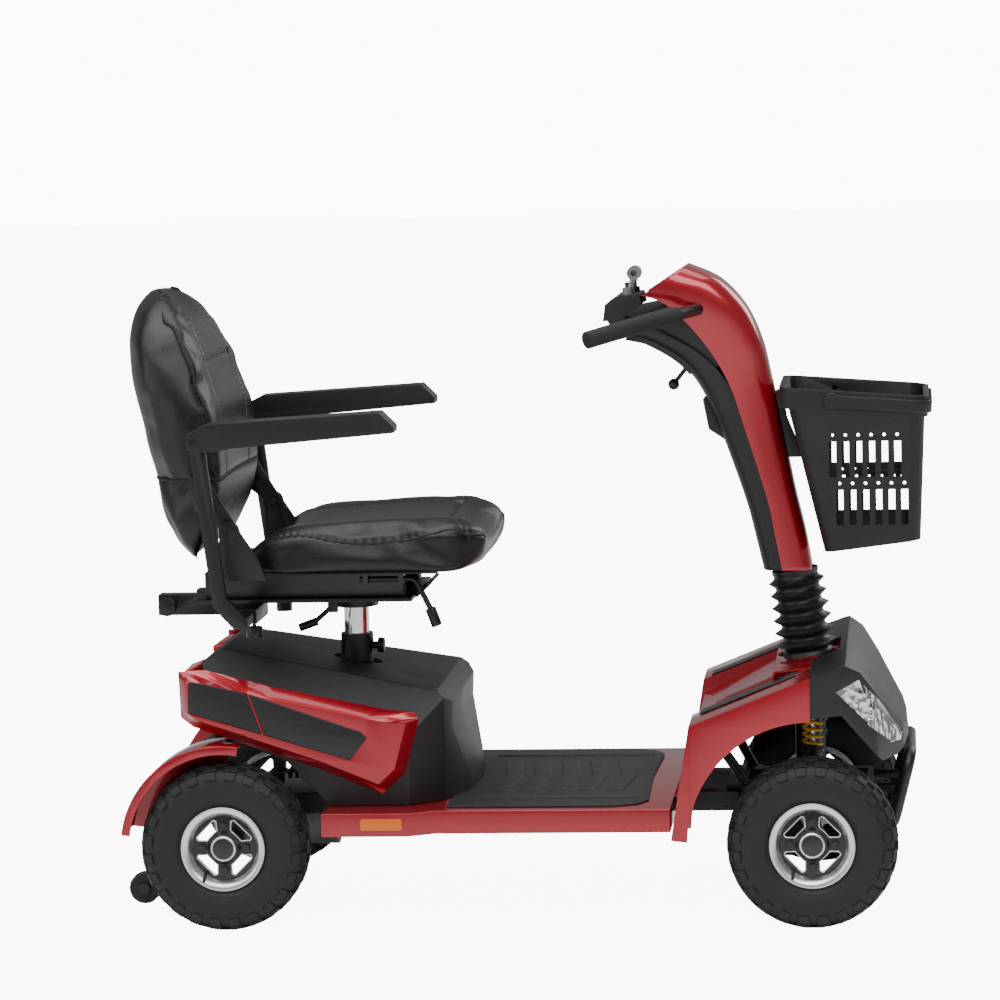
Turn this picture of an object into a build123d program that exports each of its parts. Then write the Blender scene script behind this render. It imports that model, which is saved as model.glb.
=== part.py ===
from build123d import *
import os
from math import cos, radians, sin

# A four-wheel mobility scooter, in millimetres. It is drawn about the rear axle: +X is forward, +Y is the
# rider's left, +Z is up and the ground is z = 0. Every piece is moved back by CENTRE_X when it is written,
# which puts the origin on the ground in the middle of the whole machine.

# Driving dimensions
WHEELBASE = 908
TYRE_R = 131
TYRE_HALF_W = 42
WHEEL_Y = 257
BODY_HALF_W = 296
DECK_Z = 186
SKIN = 3
GAP = 0.3
RUN = 0.05
CENTRE_X = 462.5

# Wheels
BEAD_R = 60
FLANGE_R = 66
FLANGE_T = 4
BEAD_HALF_W = 33
TYRE_WALL = 7
STUB_R = 8.5
HUB_R = 22
HUB_OUT = 28
HUB_IN = 30
WEB_W = 10
WEB_T = 8
BOLT_CIRCLE_R = 40
LUG_R = 4

# Frame
RAIL_Y = 94
RAIL_W = 28
RAIL_H = 30
RAIL_TOP = DECK_Z - 4
RAIL_LOW = RAIL_TOP - RAIL_H
RAIL_REAR = -90
RAIL_FRONT = 790
FRONT_RAIL_Y = 60
FRONT_RAIL_W = 24
FRONT_RAIL_LOW = 165
FRONT_RAIL_TOP = 190
FRONT_RAIL_END = 1000
STAY_R = 8
ANTI_TIP_X = -151
ANTI_TIP_Y = 150
ANTI_TIP_Z = 43
ANTI_TIP_R = 25
ANTI_TIP_W = 22
FENDER_R = 161
FENDER_IN_Y = 206
FENDER_OUT_Y = 290

# Steering and front suspension
STEM_X = 898
STEM_R = 12
HEAD_R = 21
HEAD_LOW = 180
HEAD_TOP = 372
TILT_Z = 405
TILT_PIN_R = 6
KINGPIN_Y = 188
KINGPIN_R = 8
KNUCKLE_R = 14
STEER_ARM = 60
STEER_Z = 98
STEER_T = 8
ARM_PIVOT_Y = 75
ARM_PIVOT_Z = 147
ARM_EYE_R = 9
ARM_PIN_R = 5
ARM_OVER_STUB = 0.5
ARM_LOW = TYRE_R + STUB_R + ARM_OVER_STUB
ARM_T = 15
SHOCK_Y = 150
SHOCK_R = 14
SHOCK_BORE_R = 12.2
SHOCK_TOP = 262
ROD_R = 3.5
SPRING_R = 14
WIRE_R = 2.3
SPRING_TURNS = 5
TOWER_Z = 326
TOWER_T = 8

# Tiller
MAST_R = 14
MAST_TOP = (802, 823)
HANDLEBAR_X = 740
HANDLEBAR_Z = 938
BAR_R = 9.5
GRIP_R = 13.5
BAR_END = (580, 262, 906)
TILLER_HALF_W = 46
THROTTLE_X = 650
THROTTLE_Z = 904
TILT_LEVER = (724, 852)
HEAD_HALF_W = 74

# Seat
POST_X = 178
POST_R = 20
SLEEVE_R = 26
SLEEVE_TOP = 426
POST_LOW = 250
POST_TOP = 470
SPIGOT_R = 14
HUB_PLATE_R = 36
PLATE_Z = 492
PLATE_T = 6
PLATE_HALF_W = 130
SLIDE_Y = 100
SLIDE_W = 30
SLIDE_LOW_T = 15
PAN_Z = 540
PAN_T = 5
SEAT_HALF_W = 222
BACK_HINGE = (14, 617)
HINGE_PIN_R = 6
BACK_HALF_W = 212
ARM_Y = 265
ARM_BAR_T = 12
ARM_PIVOT = (-25, 763)


def slab(points, y0, y1):
    """A side view outline, as (x, z) points, with its thickness from y0 to y1."""
    return extrude(Plane.XZ.offset(-y1) * Polygon(*points, align=None), amount=y1 - y0, dir=(0, -1, 0))


def plan(points, z0, z1):
    """A plan view outline, as (x, y) points, between two heights."""
    return extrude(Plane.XY.offset(z0) * Polygon(*points, align=None), amount=z1 - z0, dir=(0, 0, 1))


def section(points, x0, x1):
    """A front view outline, as (y, z) points, between two x positions."""
    return extrude(Plane.YZ.offset(x0) * Polygon(*points, align=None), amount=x1 - x0, dir=(1, 0, 0))


def both_sides(half):
    """A half outline, whose second number is y, closed with its own reflection."""
    return half + [(a, -b) for a, b in reversed(half) if b]


def box(x0, x1, y0, y1, z0, z1):
    return Pos((x0 + x1) / 2, (y0 + y1) / 2, (z0 + z1) / 2) * Box(x1 - x0, y1 - y0, z1 - z0)


def rod_x(x0, x1, y, z, r):
    return Pos((x0 + x1) / 2, y, z) * Rot(0, 90, 0) * Cylinder(r, x1 - x0)


def rod_y(y0, y1, x, z, r):
    return Pos(x, (y0 + y1) / 2, z) * Rot(90, 0, 0) * Cylinder(r, y1 - y0)


def rod_z(z0, z1, x, y, r):
    return Pos(x, y, (z0 + z1) / 2) * Cylinder(r, z1 - z0)


def bar(start, end, r):
    """A straight round bar between two points."""
    line = Line(start, end)
    return sweep((line ^ 0) * Circle(r), path=line)


def bent_bar(points, bend, r):
    """A round bar along a path with rounded corners."""
    path = FilletPolyline(*points, radius=bend)
    return sweep((path ^ 0) * Circle(r), path=path)


def flip(shape):
    """The same piece on the other side of the machine."""
    return mirror(shape, about=Plane.XZ)


def pair(shape):
    """A left piece with its right twin, as separate solids."""
    return Compound(children=[*shape.solids(), *flip(shape).solids()])


def turn(profile, side, x):
    """A wheel section, drawn as (radius, outboard offset), turned about a wheel's axle."""
    solid = revolve(Plane.XY * profile, axis=Axis.Y)
    return Pos(x, side * WHEEL_Y, TYRE_R) * (solid if side > 0 else flip(solid))


# ---------------------------------------------------------------- wheels


def tyre_outline(wall):
    """The tyre's section, or with a wall the air space inside it."""
    bead = (BEAD_R + 0.3 - (5 if wall else 0), BEAD_HALF_W - 0.5 - wall)
    flange = (FLANGE_R + 1, bead[1])
    belly = (98, TYRE_HALF_W - wall)
    shoulder = (TYRE_R - 8 - wall, 33 - wall)
    half = [
        Line(bead, flange),
        ThreePointArc(flange, belly, shoulder),
        ThreePointArc(shoulder, (TYRE_R - 2.5 - wall, 18), (TYRE_R - wall, 0)),
    ]
    other = [mirror(edge, about=Plane.XZ) for edge in half]
    return make_face([*half, *other, Line((bead[0], -bead[1]), bead)])


def tyre(side, x):
    return turn(tyre_outline(0), side, x) - turn(tyre_outline(TYRE_WALL), side, x)


def rim(side, x, driven):
    """A split rim with its four lug bolts and centre cap, and on a driven wheel its half shaft."""
    outer = BEAD_HALF_W + FLANGE_T
    barrel = Polygon(
        (BEAD_R - 5, -outer),
        (FLANGE_R, -outer),
        (FLANGE_R, -BEAD_HALF_W),
        (BEAD_R, -BEAD_HALF_W),
        (BEAD_R, BEAD_HALF_W),
        (FLANGE_R, BEAD_HALF_W),
        (FLANGE_R, outer),
        (BEAD_R - 5, outer),
        align=None,
    )
    web = Pos((HUB_R + BEAD_R) / 2 - 3, WEB_W + WEB_T / 2) * Rectangle(BEAD_R - HUB_R - 3, WEB_T)
    bore = STUB_R if driven else STUB_R + RUN
    hub = Polygon((bore, -HUB_IN), (HUB_R, -HUB_IN), (HUB_R, HUB_OUT), (bore, HUB_OUT), align=None)
    wheel = turn(barrel, side, x) + turn(web, side, x) + turn(hub, side, x)
    web_y = WHEEL_Y + WEB_W
    window = SlotArc(CenterArc((0, 0), 38, -18, 36), 17)
    pieces = []
    for n in range(4):
        cut = extrude(Plane.XZ.offset(-web_y - WEB_T - 1) * Rot(0, 0, 45 + 90 * n) * window, amount=WEB_T + 2)
        cut = Pos(x, 0, TYRE_R) * cut
        wheel -= cut if side > 0 else flip(cut)
        angle = radians(90 * n)
        lug_x, lug_z = x + BOLT_CIRCLE_R * cos(angle), TYRE_R + BOLT_CIRCLE_R * sin(angle)
        lug = rod_y(web_y + WEB_T, web_y + WEB_T + 6, lug_x, lug_z, LUG_R + 2)
        pieces.append(lug if side > 0 else flip(lug))
    cap = rod_y(WHEEL_Y + HUB_OUT, WHEEL_Y + HUB_OUT + 8, x, TYRE_R, HUB_R - 3)
    pieces.append(cap if side > 0 else flip(cap))
    if driven:
        shaft = rod_y(75, WHEEL_Y + HUB_OUT, x, TYRE_R, STUB_R)
        pieces.append(shaft if side > 0 else flip(shaft))
    return Compound(children=[*wheel.solids(), *pieces])


def anti_tip_wheel(side):
    y = side * ANTI_TIP_Y
    half = ANTI_TIP_W / 2
    wheel = rod_y(y - half, y + half, ANTI_TIP_X, ANTI_TIP_Z, ANTI_TIP_R)
    wheel = fillet(wheel.edges().filter_by(GeomType.CIRCLE), 4)
    return wheel - rod_y(y - half, y + half, ANTI_TIP_X, ANTI_TIP_Z, ARM_PIN_R + RUN)


# ---------------------------------------------------------------- frame and running gear


def rear_frame_half():
    """One side of the frame: the deck rail, the kick-up behind it, the fender stay and the anti-tip arm."""
    rail = box(RAIL_REAR, RAIL_FRONT, RAIL_Y - RAIL_W / 2, RAIL_Y + RAIL_W / 2, RAIL_LOW, RAIL_TOP)
    upright = box(-93, -77, RAIL_Y - 8, RAIL_Y + 8, RAIL_TOP, 240)
    axle_clamp = box(-22, 22, RAIL_Y - 6, RAIL_Y + 6, TYRE_R, RAIL_LOW)
    axle_clamp -= rod_y(RAIL_Y - 6, RAIL_Y + 6, 0, TYRE_R, 18 + GAP / 3)
    inner = ANTI_TIP_Y - ANTI_TIP_W / 2
    arm = bent_bar(
        [(-70, RAIL_Y, 160), (-105, RAIL_Y + 10, 130), (ANTI_TIP_X, inner - 10, ANTI_TIP_Z)], 20, 7
    )
    boss = rod_y(inner - 17, inner - 1, ANTI_TIP_X, ANTI_TIP_Z, 10)
    pin = rod_y(inner - 3, ANTI_TIP_Y + ANTI_TIP_W / 2 + 2, ANTI_TIP_X, ANTI_TIP_Z, ARM_PIN_R)
    head = rod_y(ANTI_TIP_Y + ANTI_TIP_W / 2 + 1, ANTI_TIP_Y + ANTI_TIP_W / 2 + 5, ANTI_TIP_X, ANTI_TIP_Z, 9)
    return rail + upright + axle_clamp + arm + boss + pin + head


def front_frame_half():
    """One side of the front frame: its rail, the arm's two lugs with their pin, and the cowl stay."""
    rail = box(
        RAIL_FRONT - 10,
        FRONT_RAIL_END,
        FRONT_RAIL_Y - FRONT_RAIL_W / 2,
        FRONT_RAIL_Y + FRONT_RAIL_W / 2,
        FRONT_RAIL_LOW,
        FRONT_RAIL_TOP,
    )
    lug_low = ARM_PIVOT_Z - ARM_EYE_R - 2
    lugs = Part()
    for x in (WHEELBASE - 36, WHEELBASE + 30):
        lugs += box(x, x + 6, FRONT_RAIL_Y, ARM_PIVOT_Y + 12, lug_low, FRONT_RAIL_LOW)
    pin = rod_x(WHEELBASE - 38, WHEELBASE + 38, ARM_PIVOT_Y, ARM_PIVOT_Z, ARM_PIN_R)
    stay = bar((812, 84, 178), (748, 150, 285), STAY_R)
    foot = box(796, 822, 66, 98, 166, 188)
    post = rod_z(TOWER_Z, 382.4, 893, 110, 6)
    return rail + lugs + pin + stay + foot + post


def chassis_frame():
    """The welded steel frame, with the seat sleeve, the steering head and the spring tower."""
    half = rear_frame_half() + front_frame_half()
    frame = half + flip(half)
    edge = RAIL_Y - RAIL_W / 2
    for x in (RAIL_REAR, 230, 420, 600):
        frame += box(x, x + 24, -edge, edge, RAIL_LOW, RAIL_TOP)
    frame += box(RAIL_FRONT - 20, RAIL_FRONT + 12, -edge - 10, edge + 10, RAIL_LOW, FRONT_RAIL_TOP)
    frame += rod_y(-FENDER_IN_Y, FENDER_IN_Y, -85, 232, 9)
    frame += box(FRONT_RAIL_END - 10, FRONT_RAIL_END, -72, 72, FRONT_RAIL_LOW, FRONT_RAIL_TOP)
    # The seat sleeve stands on a cross plate between the rails and has a key slot for its clamp bolt.
    frame += box(POST_X - 28, POST_X + 28, -edge, edge, RAIL_TOP - 8, RAIL_TOP)
    frame += rod_z(RAIL_TOP - 4, SLEEVE_TOP, POST_X, 0, SLEEVE_R)
    frame += rod_x(POST_X + 20, POST_X + 40, 0, 405, 6)
    frame += rod_x(POST_X + 34, POST_X + 44, 0, 405, 12)
    frame -= rod_z(POST_LOW - 60, SLEEVE_TOP, POST_X, 0, POST_R + RUN)
    # The head tube is welded to a plate between the front rails, and carries the tower for the dampers.
    frame += box(STEM_X - 32, STEM_X + 32, -60, 60, HEAD_LOW, FRONT_RAIL_TOP)
    frame += rod_z(HEAD_LOW, HEAD_TOP, STEM_X, 0, HEAD_R)
    frame += box(WHEELBASE - 20, WHEELBASE + 20, -SHOCK_Y - 15, SHOCK_Y + 15, TOWER_Z, TOWER_Z + TOWER_T)
    frame -= rod_z(HEAD_LOW, HEAD_TOP, STEM_X, 0, STEM_R + RUN)
    for y in (-SHOCK_Y, SHOCK_Y):
        frame -= rod_z(TOWER_Z, TOWER_Z + TOWER_T, WHEELBASE, y, ROD_R)
    return frame


def transaxle():
    """The gearbox with its axle tubes, and the motor flanged to its front."""
    case = rod_y(-45, 45, 0, TYRE_R, 60)
    case = chamfer(case.edges().filter_by(GeomType.CIRCLE), 8)
    for side in (-1, 1):
        y0, y1 = sorted((side * 40, side * 195))
        case += rod_y(y0, y1, 0, TYRE_R, 18)
        case -= rod_y(*sorted((side * 60, side * 195)), 0, TYRE_R, STUB_R + 0.5)
    motor = rod_x(70, 140, 0, TYRE_R - 8, 40)
    motor += rod_x(62, 70, 0, TYRE_R - 8, 34)
    neck = rod_x(40, 62, 0, TYRE_R - 8, 30)
    return Compound(children=[*(case + neck).solids(), *motor.solids()])


def batteries():
    return pair(box(216, 322, 5, 168, DECK_Z, 338))


def controller():
    body = box(68, 140, -92, 92, RAIL_TOP, 214)
    for n in range(6):
        x = 74 + 11 * n
        body -= box(x, x + 6, -92, 92, 206, 214)
    return body


# ---------------------------------------------------------------- front suspension and steering


def suspension_arm():
    """The left lower arm: its eye, its plate, the kingpin under its tip and the damper sleeve on it."""
    eye = rod_x(WHEELBASE - 29, WHEELBASE + 29, ARM_PIVOT_Y, ARM_PIVOT_Z, ARM_EYE_R)
    outline = [
        (WHEELBASE - 28, ARM_PIVOT_Y),
        (WHEELBASE - 18, SHOCK_Y),
        (WHEELBASE - 12, KINGPIN_Y + 12),
        (WHEELBASE + 12, KINGPIN_Y + 12),
        (WHEELBASE + 18, SHOCK_Y),
        (WHEELBASE + 28, ARM_PIVOT_Y),
    ]
    arm = plan(outline, ARM_LOW, ARM_LOW + ARM_T) + eye
    arm -= rod_x(WHEELBASE - 30, WHEELBASE + 30, ARM_PIVOT_Y, ARM_PIVOT_Z, ARM_PIN_R + RUN)
    arm += rod_z(STEER_Z - 1, ARM_LOW + 1, WHEELBASE, KINGPIN_Y, KINGPIN_R)
    top = ARM_LOW + ARM_T
    sleeve = rod_z(top - 1, SHOCK_TOP, WHEELBASE, SHOCK_Y, SHOCK_R)
    for z in (SHOCK_TOP - 30, SHOCK_TOP - 10):
        sleeve += rod_z(z, z + 6, WHEELBASE, SHOCK_Y, SHOCK_R + 3)
    sleeve -= rod_z(top + 4, SHOCK_TOP, WHEELBASE, SHOCK_Y, SHOCK_BORE_R)
    return arm + sleeve


def shock_dampers():
    """The damper rods, each with its nut on the tower and the spring's top seat under it."""
    rod = rod_z(SHOCK_TOP - 25, TOWER_Z + TOWER_T, WHEELBASE, SHOCK_Y, ROD_R)
    seat = rod_z(TOWER_Z - 5, TOWER_Z, WHEELBASE, SHOCK_Y, SPRING_R + WIRE_R + 1)
    nut = rod_z(TOWER_Z + TOWER_T, TOWER_Z + TOWER_T + 7, WHEELBASE, SHOCK_Y, 7)
    return pair(rod + seat + nut)


def front_spring():
    """The left coil spring, between the sleeve's rim and the tower's seat."""
    low = SHOCK_TOP + WIRE_R + GAP
    high = TOWER_Z - 5 - WIRE_R - GAP
    turns = Helix((high - low) / SPRING_TURNS, high - low, SPRING_R)
    coil = sweep((turns ^ 0) * Circle(WIRE_R), path=turns, is_frenet=True)
    return Pos(WHEELBASE, SHOCK_Y, low) * coil


def knuckle():
    """The left knuckle: its barrel on the kingpin, the stub axle and the steering arm with its pin."""
    body = rod_z(STEER_Z, ARM_LOW - GAP, WHEELBASE, KINGPIN_Y, KNUCKLE_R)
    body += plan(
        [
            (WHEELBASE + 8, KINGPIN_Y - 10),
            (WHEELBASE + 8, KINGPIN_Y + 10),
            (WHEELBASE - STEER_ARM - 10, KINGPIN_Y + 8),
            (WHEELBASE - STEER_ARM - 10, KINGPIN_Y - 8),
        ],
        STEER_Z,
        STEER_Z + STEER_T,
    )
    body += rod_y(KINGPIN_Y, WHEEL_Y - HUB_IN - GAP, WHEELBASE, TYRE_R, STUB_R)
    body += rod_y(KINGPIN_Y + 4, WHEEL_Y + HUB_OUT - 1, WHEELBASE, TYRE_R, STUB_R)
    body -= rod_z(STEER_Z - 1, ARM_LOW, WHEELBASE, KINGPIN_Y, KINGPIN_R + RUN)
    return body + rod_z(STEER_Z - 12, STEER_Z + 1, WHEELBASE - STEER_ARM, KINGPIN_Y, 4)


def steering_stem():
    """The shaft in the head tube, the pitman arm under it and the clevis for the tiller on top."""
    stem = rod_z(STEER_Z, TILT_Z - 22, STEM_X, 0, STEM_R)
    stem += rod_z(HEAD_TOP + GAP, HEAD_TOP + 5, STEM_X, 0, HEAD_R)
    stem += plan(
        [(STEM_X + 12, -12), (STEM_X + 12, 12), (STEM_X - STEER_ARM - 9, 9), (STEM_X - STEER_ARM - 9, -9)],
        STEER_Z,
        STEER_Z + STEER_T,
    )
    stem += rod_z(STEER_Z - 12, STEER_Z + 1, STEM_X - STEER_ARM, 0, 4)
    stem += box(STEM_X - 15, STEM_X + 15, -25, 25, TILT_Z - 28, TILT_Z - 20)
    for side in (-1, 1):
        y0, y1 = sorted((side * 19, side * 25))
        stem += box(STEM_X - 14, STEM_X + 14, y0, y1, TILT_Z - 28, TILT_Z)
        stem += rod_y(y0, y1, STEM_X, TILT_Z, 14)
    return stem + rod_y(-27, 27, STEM_X, TILT_Z, TILT_PIN_R)


def tie_rods():
    """Two rods from the pitman pin to the knuckles, with a wide rubber eye at each outer end."""
    z0 = STEER_Z - 13
    z1 = STEER_Z - GAP
    inner_x = STEM_X - STEER_ARM
    outer_x = WHEELBASE - STEER_ARM
    both = rod_z(z0, z1, inner_x, 0, 12)
    for side in (-1, 1):
        outer = (outer_x, side * KINGPIN_Y)
        both += bar((inner_x, side * 8, z0 + 5), (outer_x, side * (KINGPIN_Y - 10), z0 + 5), 4.5)
        both += rod_z(z0, z1, *outer, 13)
        both -= rod_z(z0, z1, *outer, 8.6)
    return both - rod_z(z0, z1, inner_x, 0, 4 + RUN)


# ---------------------------------------------------------------- deck and rear body

PAN_HALF = [
    (155, BODY_HALF_W),
    (290, BODY_HALF_W),
    (330, BODY_HALF_W - 22),
    (692, BODY_HALF_W - 22),
]


def floor_pan():
    """The red deck tray: a top plate with a skirt all round, and a hole for the seat sleeve."""
    inner = [
        (155 + SKIN, BODY_HALF_W - SKIN),
        (289, BODY_HALF_W - SKIN),
        (329, BODY_HALF_W - 22 - SKIN),
        (692 - SKIN, BODY_HALF_W - 22 - SKIN),
    ]
    pan = plan(both_sides(PAN_HALF), 150, DECK_Z)
    pan -= plan(both_sides(inner), 149, RAIL_TOP)
    for x in (150, 685):
        pan -= box(x, x + 10, -RAIL_Y - 15, RAIL_Y + 15, 149, RAIL_TOP)
    return pan - rod_z(RAIL_TOP, DECK_Z, POST_X, 0, SLEEVE_R + 1)


def foot_mat():
    """The rubber mat, with raised treads, on the deck between the rear cover and the cowl."""
    half = [(345, 252), (600, 252), (640, 235), (655, 205), (650, 0)]
    mat = plan(both_sides(half), DECK_Z, DECK_Z + 3) - plan(both_sides(COVER_PLAN), DECK_Z - 1, DECK_Z + 10)
    for n in range(5):
        x = 400 + 46 * n
        tread = [(x, -130), (x + 26, -130), (x + 40, 0), (x + 26, 130), (x, 130), (x + 14, 0)]
        mat += plan(tread, DECK_Z + 2, DECK_Z + 5)
    for side in (-1, 1):
        mat += box(380, 640, side * 190 - 4, side * 190 + 4, DECK_Z + 2, DECK_Z + 5)
    return mat


COVER_SIDE = [
    (-50, 305),
    (-50, 402),
    (-20, 420),
    (325, 358),
    (348, 338),
    (345, 300),
    (372, DECK_Z + GAP),
    (160, DECK_Z + GAP),
    (95, 256),
    (-10, 303),
]
COVER_PLAN = [(-51, 175), (-34, 229.7), (285, 229.7), (336, 186), (368, 95), (373, 0)]
COVER_FRONT = [(232, 180), (232, 292), (112, 432), (-112, 432), (-232, 292), (-232, 180)]


def rear_cover():
    """The black battery cover: a faceted shell, open below, with the hole for the seat sleeve."""
    outer = slab(COVER_SIDE, -240, 240) & plan(both_sides(COVER_PLAN), 180, 440)
    outer &= section(COVER_FRONT, -60, 380)
    side_in = [
        (-47, 290),
        (-47, 400),
        (-19, 416.5),
        (324, 355),
        (344.5, 337),
        (341.5, 300),
        (369, 180),
        (154, 180),
        (92, 249),
        (-12, 290),
    ]
    plan_in = [(-47, 172), (-31, 226.7), (284, 226.7), (333.5, 184), (364, 94), (369.5, 0)]
    front_in = [(229, 170), (229, 291), (110, 430), (-110, 430), (-229, 291), (-229, 170)]
    inner = slab(side_in, -240, 240) & plan(both_sides(plan_in), 160, 440) & section(front_in, -60, 380)
    shell = outer - inner
    shell -= Pos(POST_X, 0, 400) * extrude(Ellipse(40, 30), amount=60, both=True)
    return shell - section([(-60, 285), (-60, 170), (60, 170), (60, 285)], -60, 0)


PANEL = [
    (-72, 400),
    (-70, 328),
    (-51, 313),
    (146, 245),
    (243, 205),
    (280, 238),
    (303, 322),
    (295, 334),
    (255, 337),
    (75, 375),
    (-30, 402),
]
PANEL_Y = 230
PANEL_OUT = 251
INSERT_REAR = [(-52, 388), (-55, 338), (60, 303), (38, 368)]
INSERT_FRONT = [(41, 367), (64, 302), (196, 262), (224, 296), (215, 306)]


def side_panel():
    """The left red side panel: a bevelled dish with shallow seats for the two grey inserts."""
    depth = PANEL_OUT - PANEL_Y
    out = (0, 1, 0)
    dish = extrude(Plane.XZ.offset(-PANEL_Y) * Polygon(*PANEL, align=None), amount=depth, dir=out, taper=38)
    hollow = offset(Polygon(*PANEL, align=None), amount=-5)
    dish -= extrude(Plane.XZ.offset(1 - PANEL_Y) * hollow, amount=depth - 3, dir=out, taper=38)
    for outline in (INSERT_REAR, INSERT_FRONT):
        dish -= slab(outline, PANEL_OUT - 2, PANEL_OUT + 1)
    return dish


def side_inserts():
    pieces = []
    for outline in (INSERT_REAR, INSERT_FRONT):
        face = Plane.XZ.offset(2 - PANEL_OUT) * offset(Polygon(*outline, align=None), amount=-0.4)
        plate = extrude(face, amount=3, dir=(0, 1, 0))
        pieces += [plate, flip(plate)]
    return Compound(children=pieces)


def tail_lights():
    """The two red rear lamps, on the corners of the rear cover."""
    lamp = slab([(-50, 322), (-72, 332), (-76, 392), (-50, 401)], 90, 229)
    return pair(lamp & plan([(-50, 90), (-76, 96), (-73, 180), (-66, 229), (-50, 175)], 300, 410))


def fender_sector(low, high, y0, y1):
    """A wedge between two angles about the rear axle."""
    tips = [(260 * cos(radians(a)), TYRE_R + 260 * sin(radians(a))) for a in (low, (low + high) / 2, high)]
    return slab([(0, TYRE_R), *tips], y0, y1)


def rear_fenders():
    """The red mudguards: an arc over each rear tyre with a turned-down lip and an inner wall."""
    ring = rod_y(FENDER_IN_Y, FENDER_OUT_Y, 0, TYRE_R, FENDER_R)
    ring -= rod_y(FENDER_IN_Y + 3, FENDER_OUT_Y - 3, 0, TYRE_R, FENDER_R - 4)
    ring -= rod_y(FENDER_IN_Y + 3, FENDER_OUT_Y, 0, TYRE_R, FENDER_R - 14)
    ring -= rod_y(FENDER_IN_Y, FENDER_IN_Y + 3, 0, TYRE_R, 120)
    keep = fender_sector(91, 172, FENDER_IN_Y, FENDER_OUT_Y) + fender_sector(80, 92, 254, FENDER_OUT_Y)
    return pair(ring & keep)


def side_reflectors():
    outline = [(216, 160), (281, 160), (281, 178), (216, 178)]
    lens = slab(outline, BODY_HALF_W, BODY_HALF_W + 2.5)
    return pair(fillet(lens.edges().filter_by(Axis.Y), 4))


# ---------------------------------------------------------------- front body

COWL_REAR = 693
COWL_SIDE = [(COWL_REAR, 140), (723, 316), (905, 388), (907.7, 388), (907.7, 135), (730, 135)]
COWL_SIDE_IN = [(COWL_REAR + 3, 130), (726, 313.5), (904, 384), (912, 384), (912, 120), (730, 120)]
SPINE_Y = 175
ARCH_R = 190


def cowl_side():
    """The left fender half of the cowl: a roof, an outer cheek round the wheel arch and an inner wall."""
    shell = slab(COWL_SIDE, SPINE_Y, BODY_HALF_W - 6)
    shell -= slab(COWL_SIDE_IN, SPINE_Y + SKIN, BODY_HALF_W - 6 - SKIN)
    shell -= rod_y(SPINE_Y - 1, BODY_HALF_W, WHEELBASE, TYRE_R, ARCH_R)
    return shell


def front_cowl():
    """The red cowl over the front wheels, with a lower spine between the fenders and the boot's collar."""
    side = cowl_side()
    spine = [
        (COWL_REAR, DECK_Z + GAP),
        (COWL_REAR + 33, 294),
        (842, 352),
        (850, 382),
        (907.7, 388),
        (907.7, 300),
        (740, DECK_Z + GAP),
    ]
    spine_in = [
        (COWL_REAR + 3, 180),
        (COWL_REAR + 36, 292),
        (844, 348.5),
        (852.5, 379),
        (912, 385),
        (912, 290),
        (741, 180),
    ]
    middle = slab(spine, -SPINE_Y, SPINE_Y) - slab(spine_in, -SPINE_Y - 1, SPINE_Y + 1)
    nose_tongue = box(907, 950, -66, 66, 382.5, 388)
    cowl = side + flip(side) + middle + nose_tongue
    return cowl - rod_z(360, 400, STEM_X + 2, 0, 49)


def cowl_strips():
    """The two grey textured strips along the inner edge of each fender."""
    strip = slab([(736, 321.6), (738, 325), (884, 382.8), (886, 380.6)], SPINE_Y + 3, SPINE_Y + 38)
    return pair(strip - slab(COWL_SIDE, SPINE_Y, BODY_HALF_W))


NOSE_SIDE = [
    (908, 385),
    (962, 405),
    (984, 392),
    (1053, 286),
    (1056, 262),
    (1040, 248),
    (1017, 248),
    (955, 330),
    (908, 326),
]
NOSE_SIDE_IN = [
    (900, 381.5),
    (961, 401.5),
    (981.5, 390),
    (1050, 285),
    (1053, 263),
    (1040, 240),
    (1010, 240),
    (950, 322),
    (900, 310),
]
NOSE_PLAN = [(908, 290), (952, 286), (1008, 236), (1048, 130), (1060, 0)]
NOSE_PLAN_IN = [(900, 287), (951, 283), (1005, 234), (1045, 129), (1057, 0)]
LAMP = [(948, 366), (982, 381), (1012, 345), (1046, 283), (1043, 268), (1028, 272)]


def nose_shell():
    outer = slab(NOSE_SIDE, -300, 300) & plan(both_sides(NOSE_PLAN), 200, 420)
    inner = slab(NOSE_SIDE_IN, -300, 300) & plan(both_sides(NOSE_PLAN_IN), 200, 420)
    return outer - inner


def lamp_window(margin):
    face = offset(Polygon(*LAMP, align=None), amount=margin) if margin else Polygon(*LAMP, align=None)
    return extrude(Plane.XZ.offset(-300) * face, amount=180, dir=(0, -1, 0))


def nose_cover():
    """The black nose: a wrapped shell with two lamp windows and a notch for the cowl's collar."""
    nose = nose_shell() - lamp_window(0.4) - flip(lamp_window(0.4))
    return nose - box(907, 951, -67, 67, 360, 410)


def headlights():
    """The clear lenses that fill the nose's windows, each with a reflector bowl and its bulb behind it."""
    lens = nose_shell() & lamp_window(0)
    bowl = Cone(8, 26, 34) - Pos(0, 0, 1.5) * Cone(6, 24, 34)
    whole = Pos(974.4, 223.8, 325.8) * Rot(0, 48, 0) * Rot(-42, 0, 0) * (bowl + Pos(0, 0, -8) * Sphere(7))
    return Compound(children=[*pair(lens).solids(), *pair(whole).solids()])


def front_bumper():
    """The black hoop in front of the nose, on two stubs from the front rails."""
    half = 118
    top = [(1058, -half, 240), (1058, half, 240)]
    low = [(1030, half, 132), (1030, -half, 132)]
    path = FilletPolyline(*top, *low, radius=26, close=True)
    hoop = sweep((path ^ 0) * Circle(10), path=path)
    for side in (-1, 1):
        hoop += rod_x(FRONT_RAIL_END, 1041, side * FRONT_RAIL_Y, 178, 8)
        hoop += rod_x(FRONT_RAIL_END, FRONT_RAIL_END + 4, side * FRONT_RAIL_Y, 178, 12)
        hoop += bar((1031, side * FRONT_RAIL_Y, 136), (1057, side * FRONT_RAIL_Y, 236), 6)
    return hoop


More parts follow.
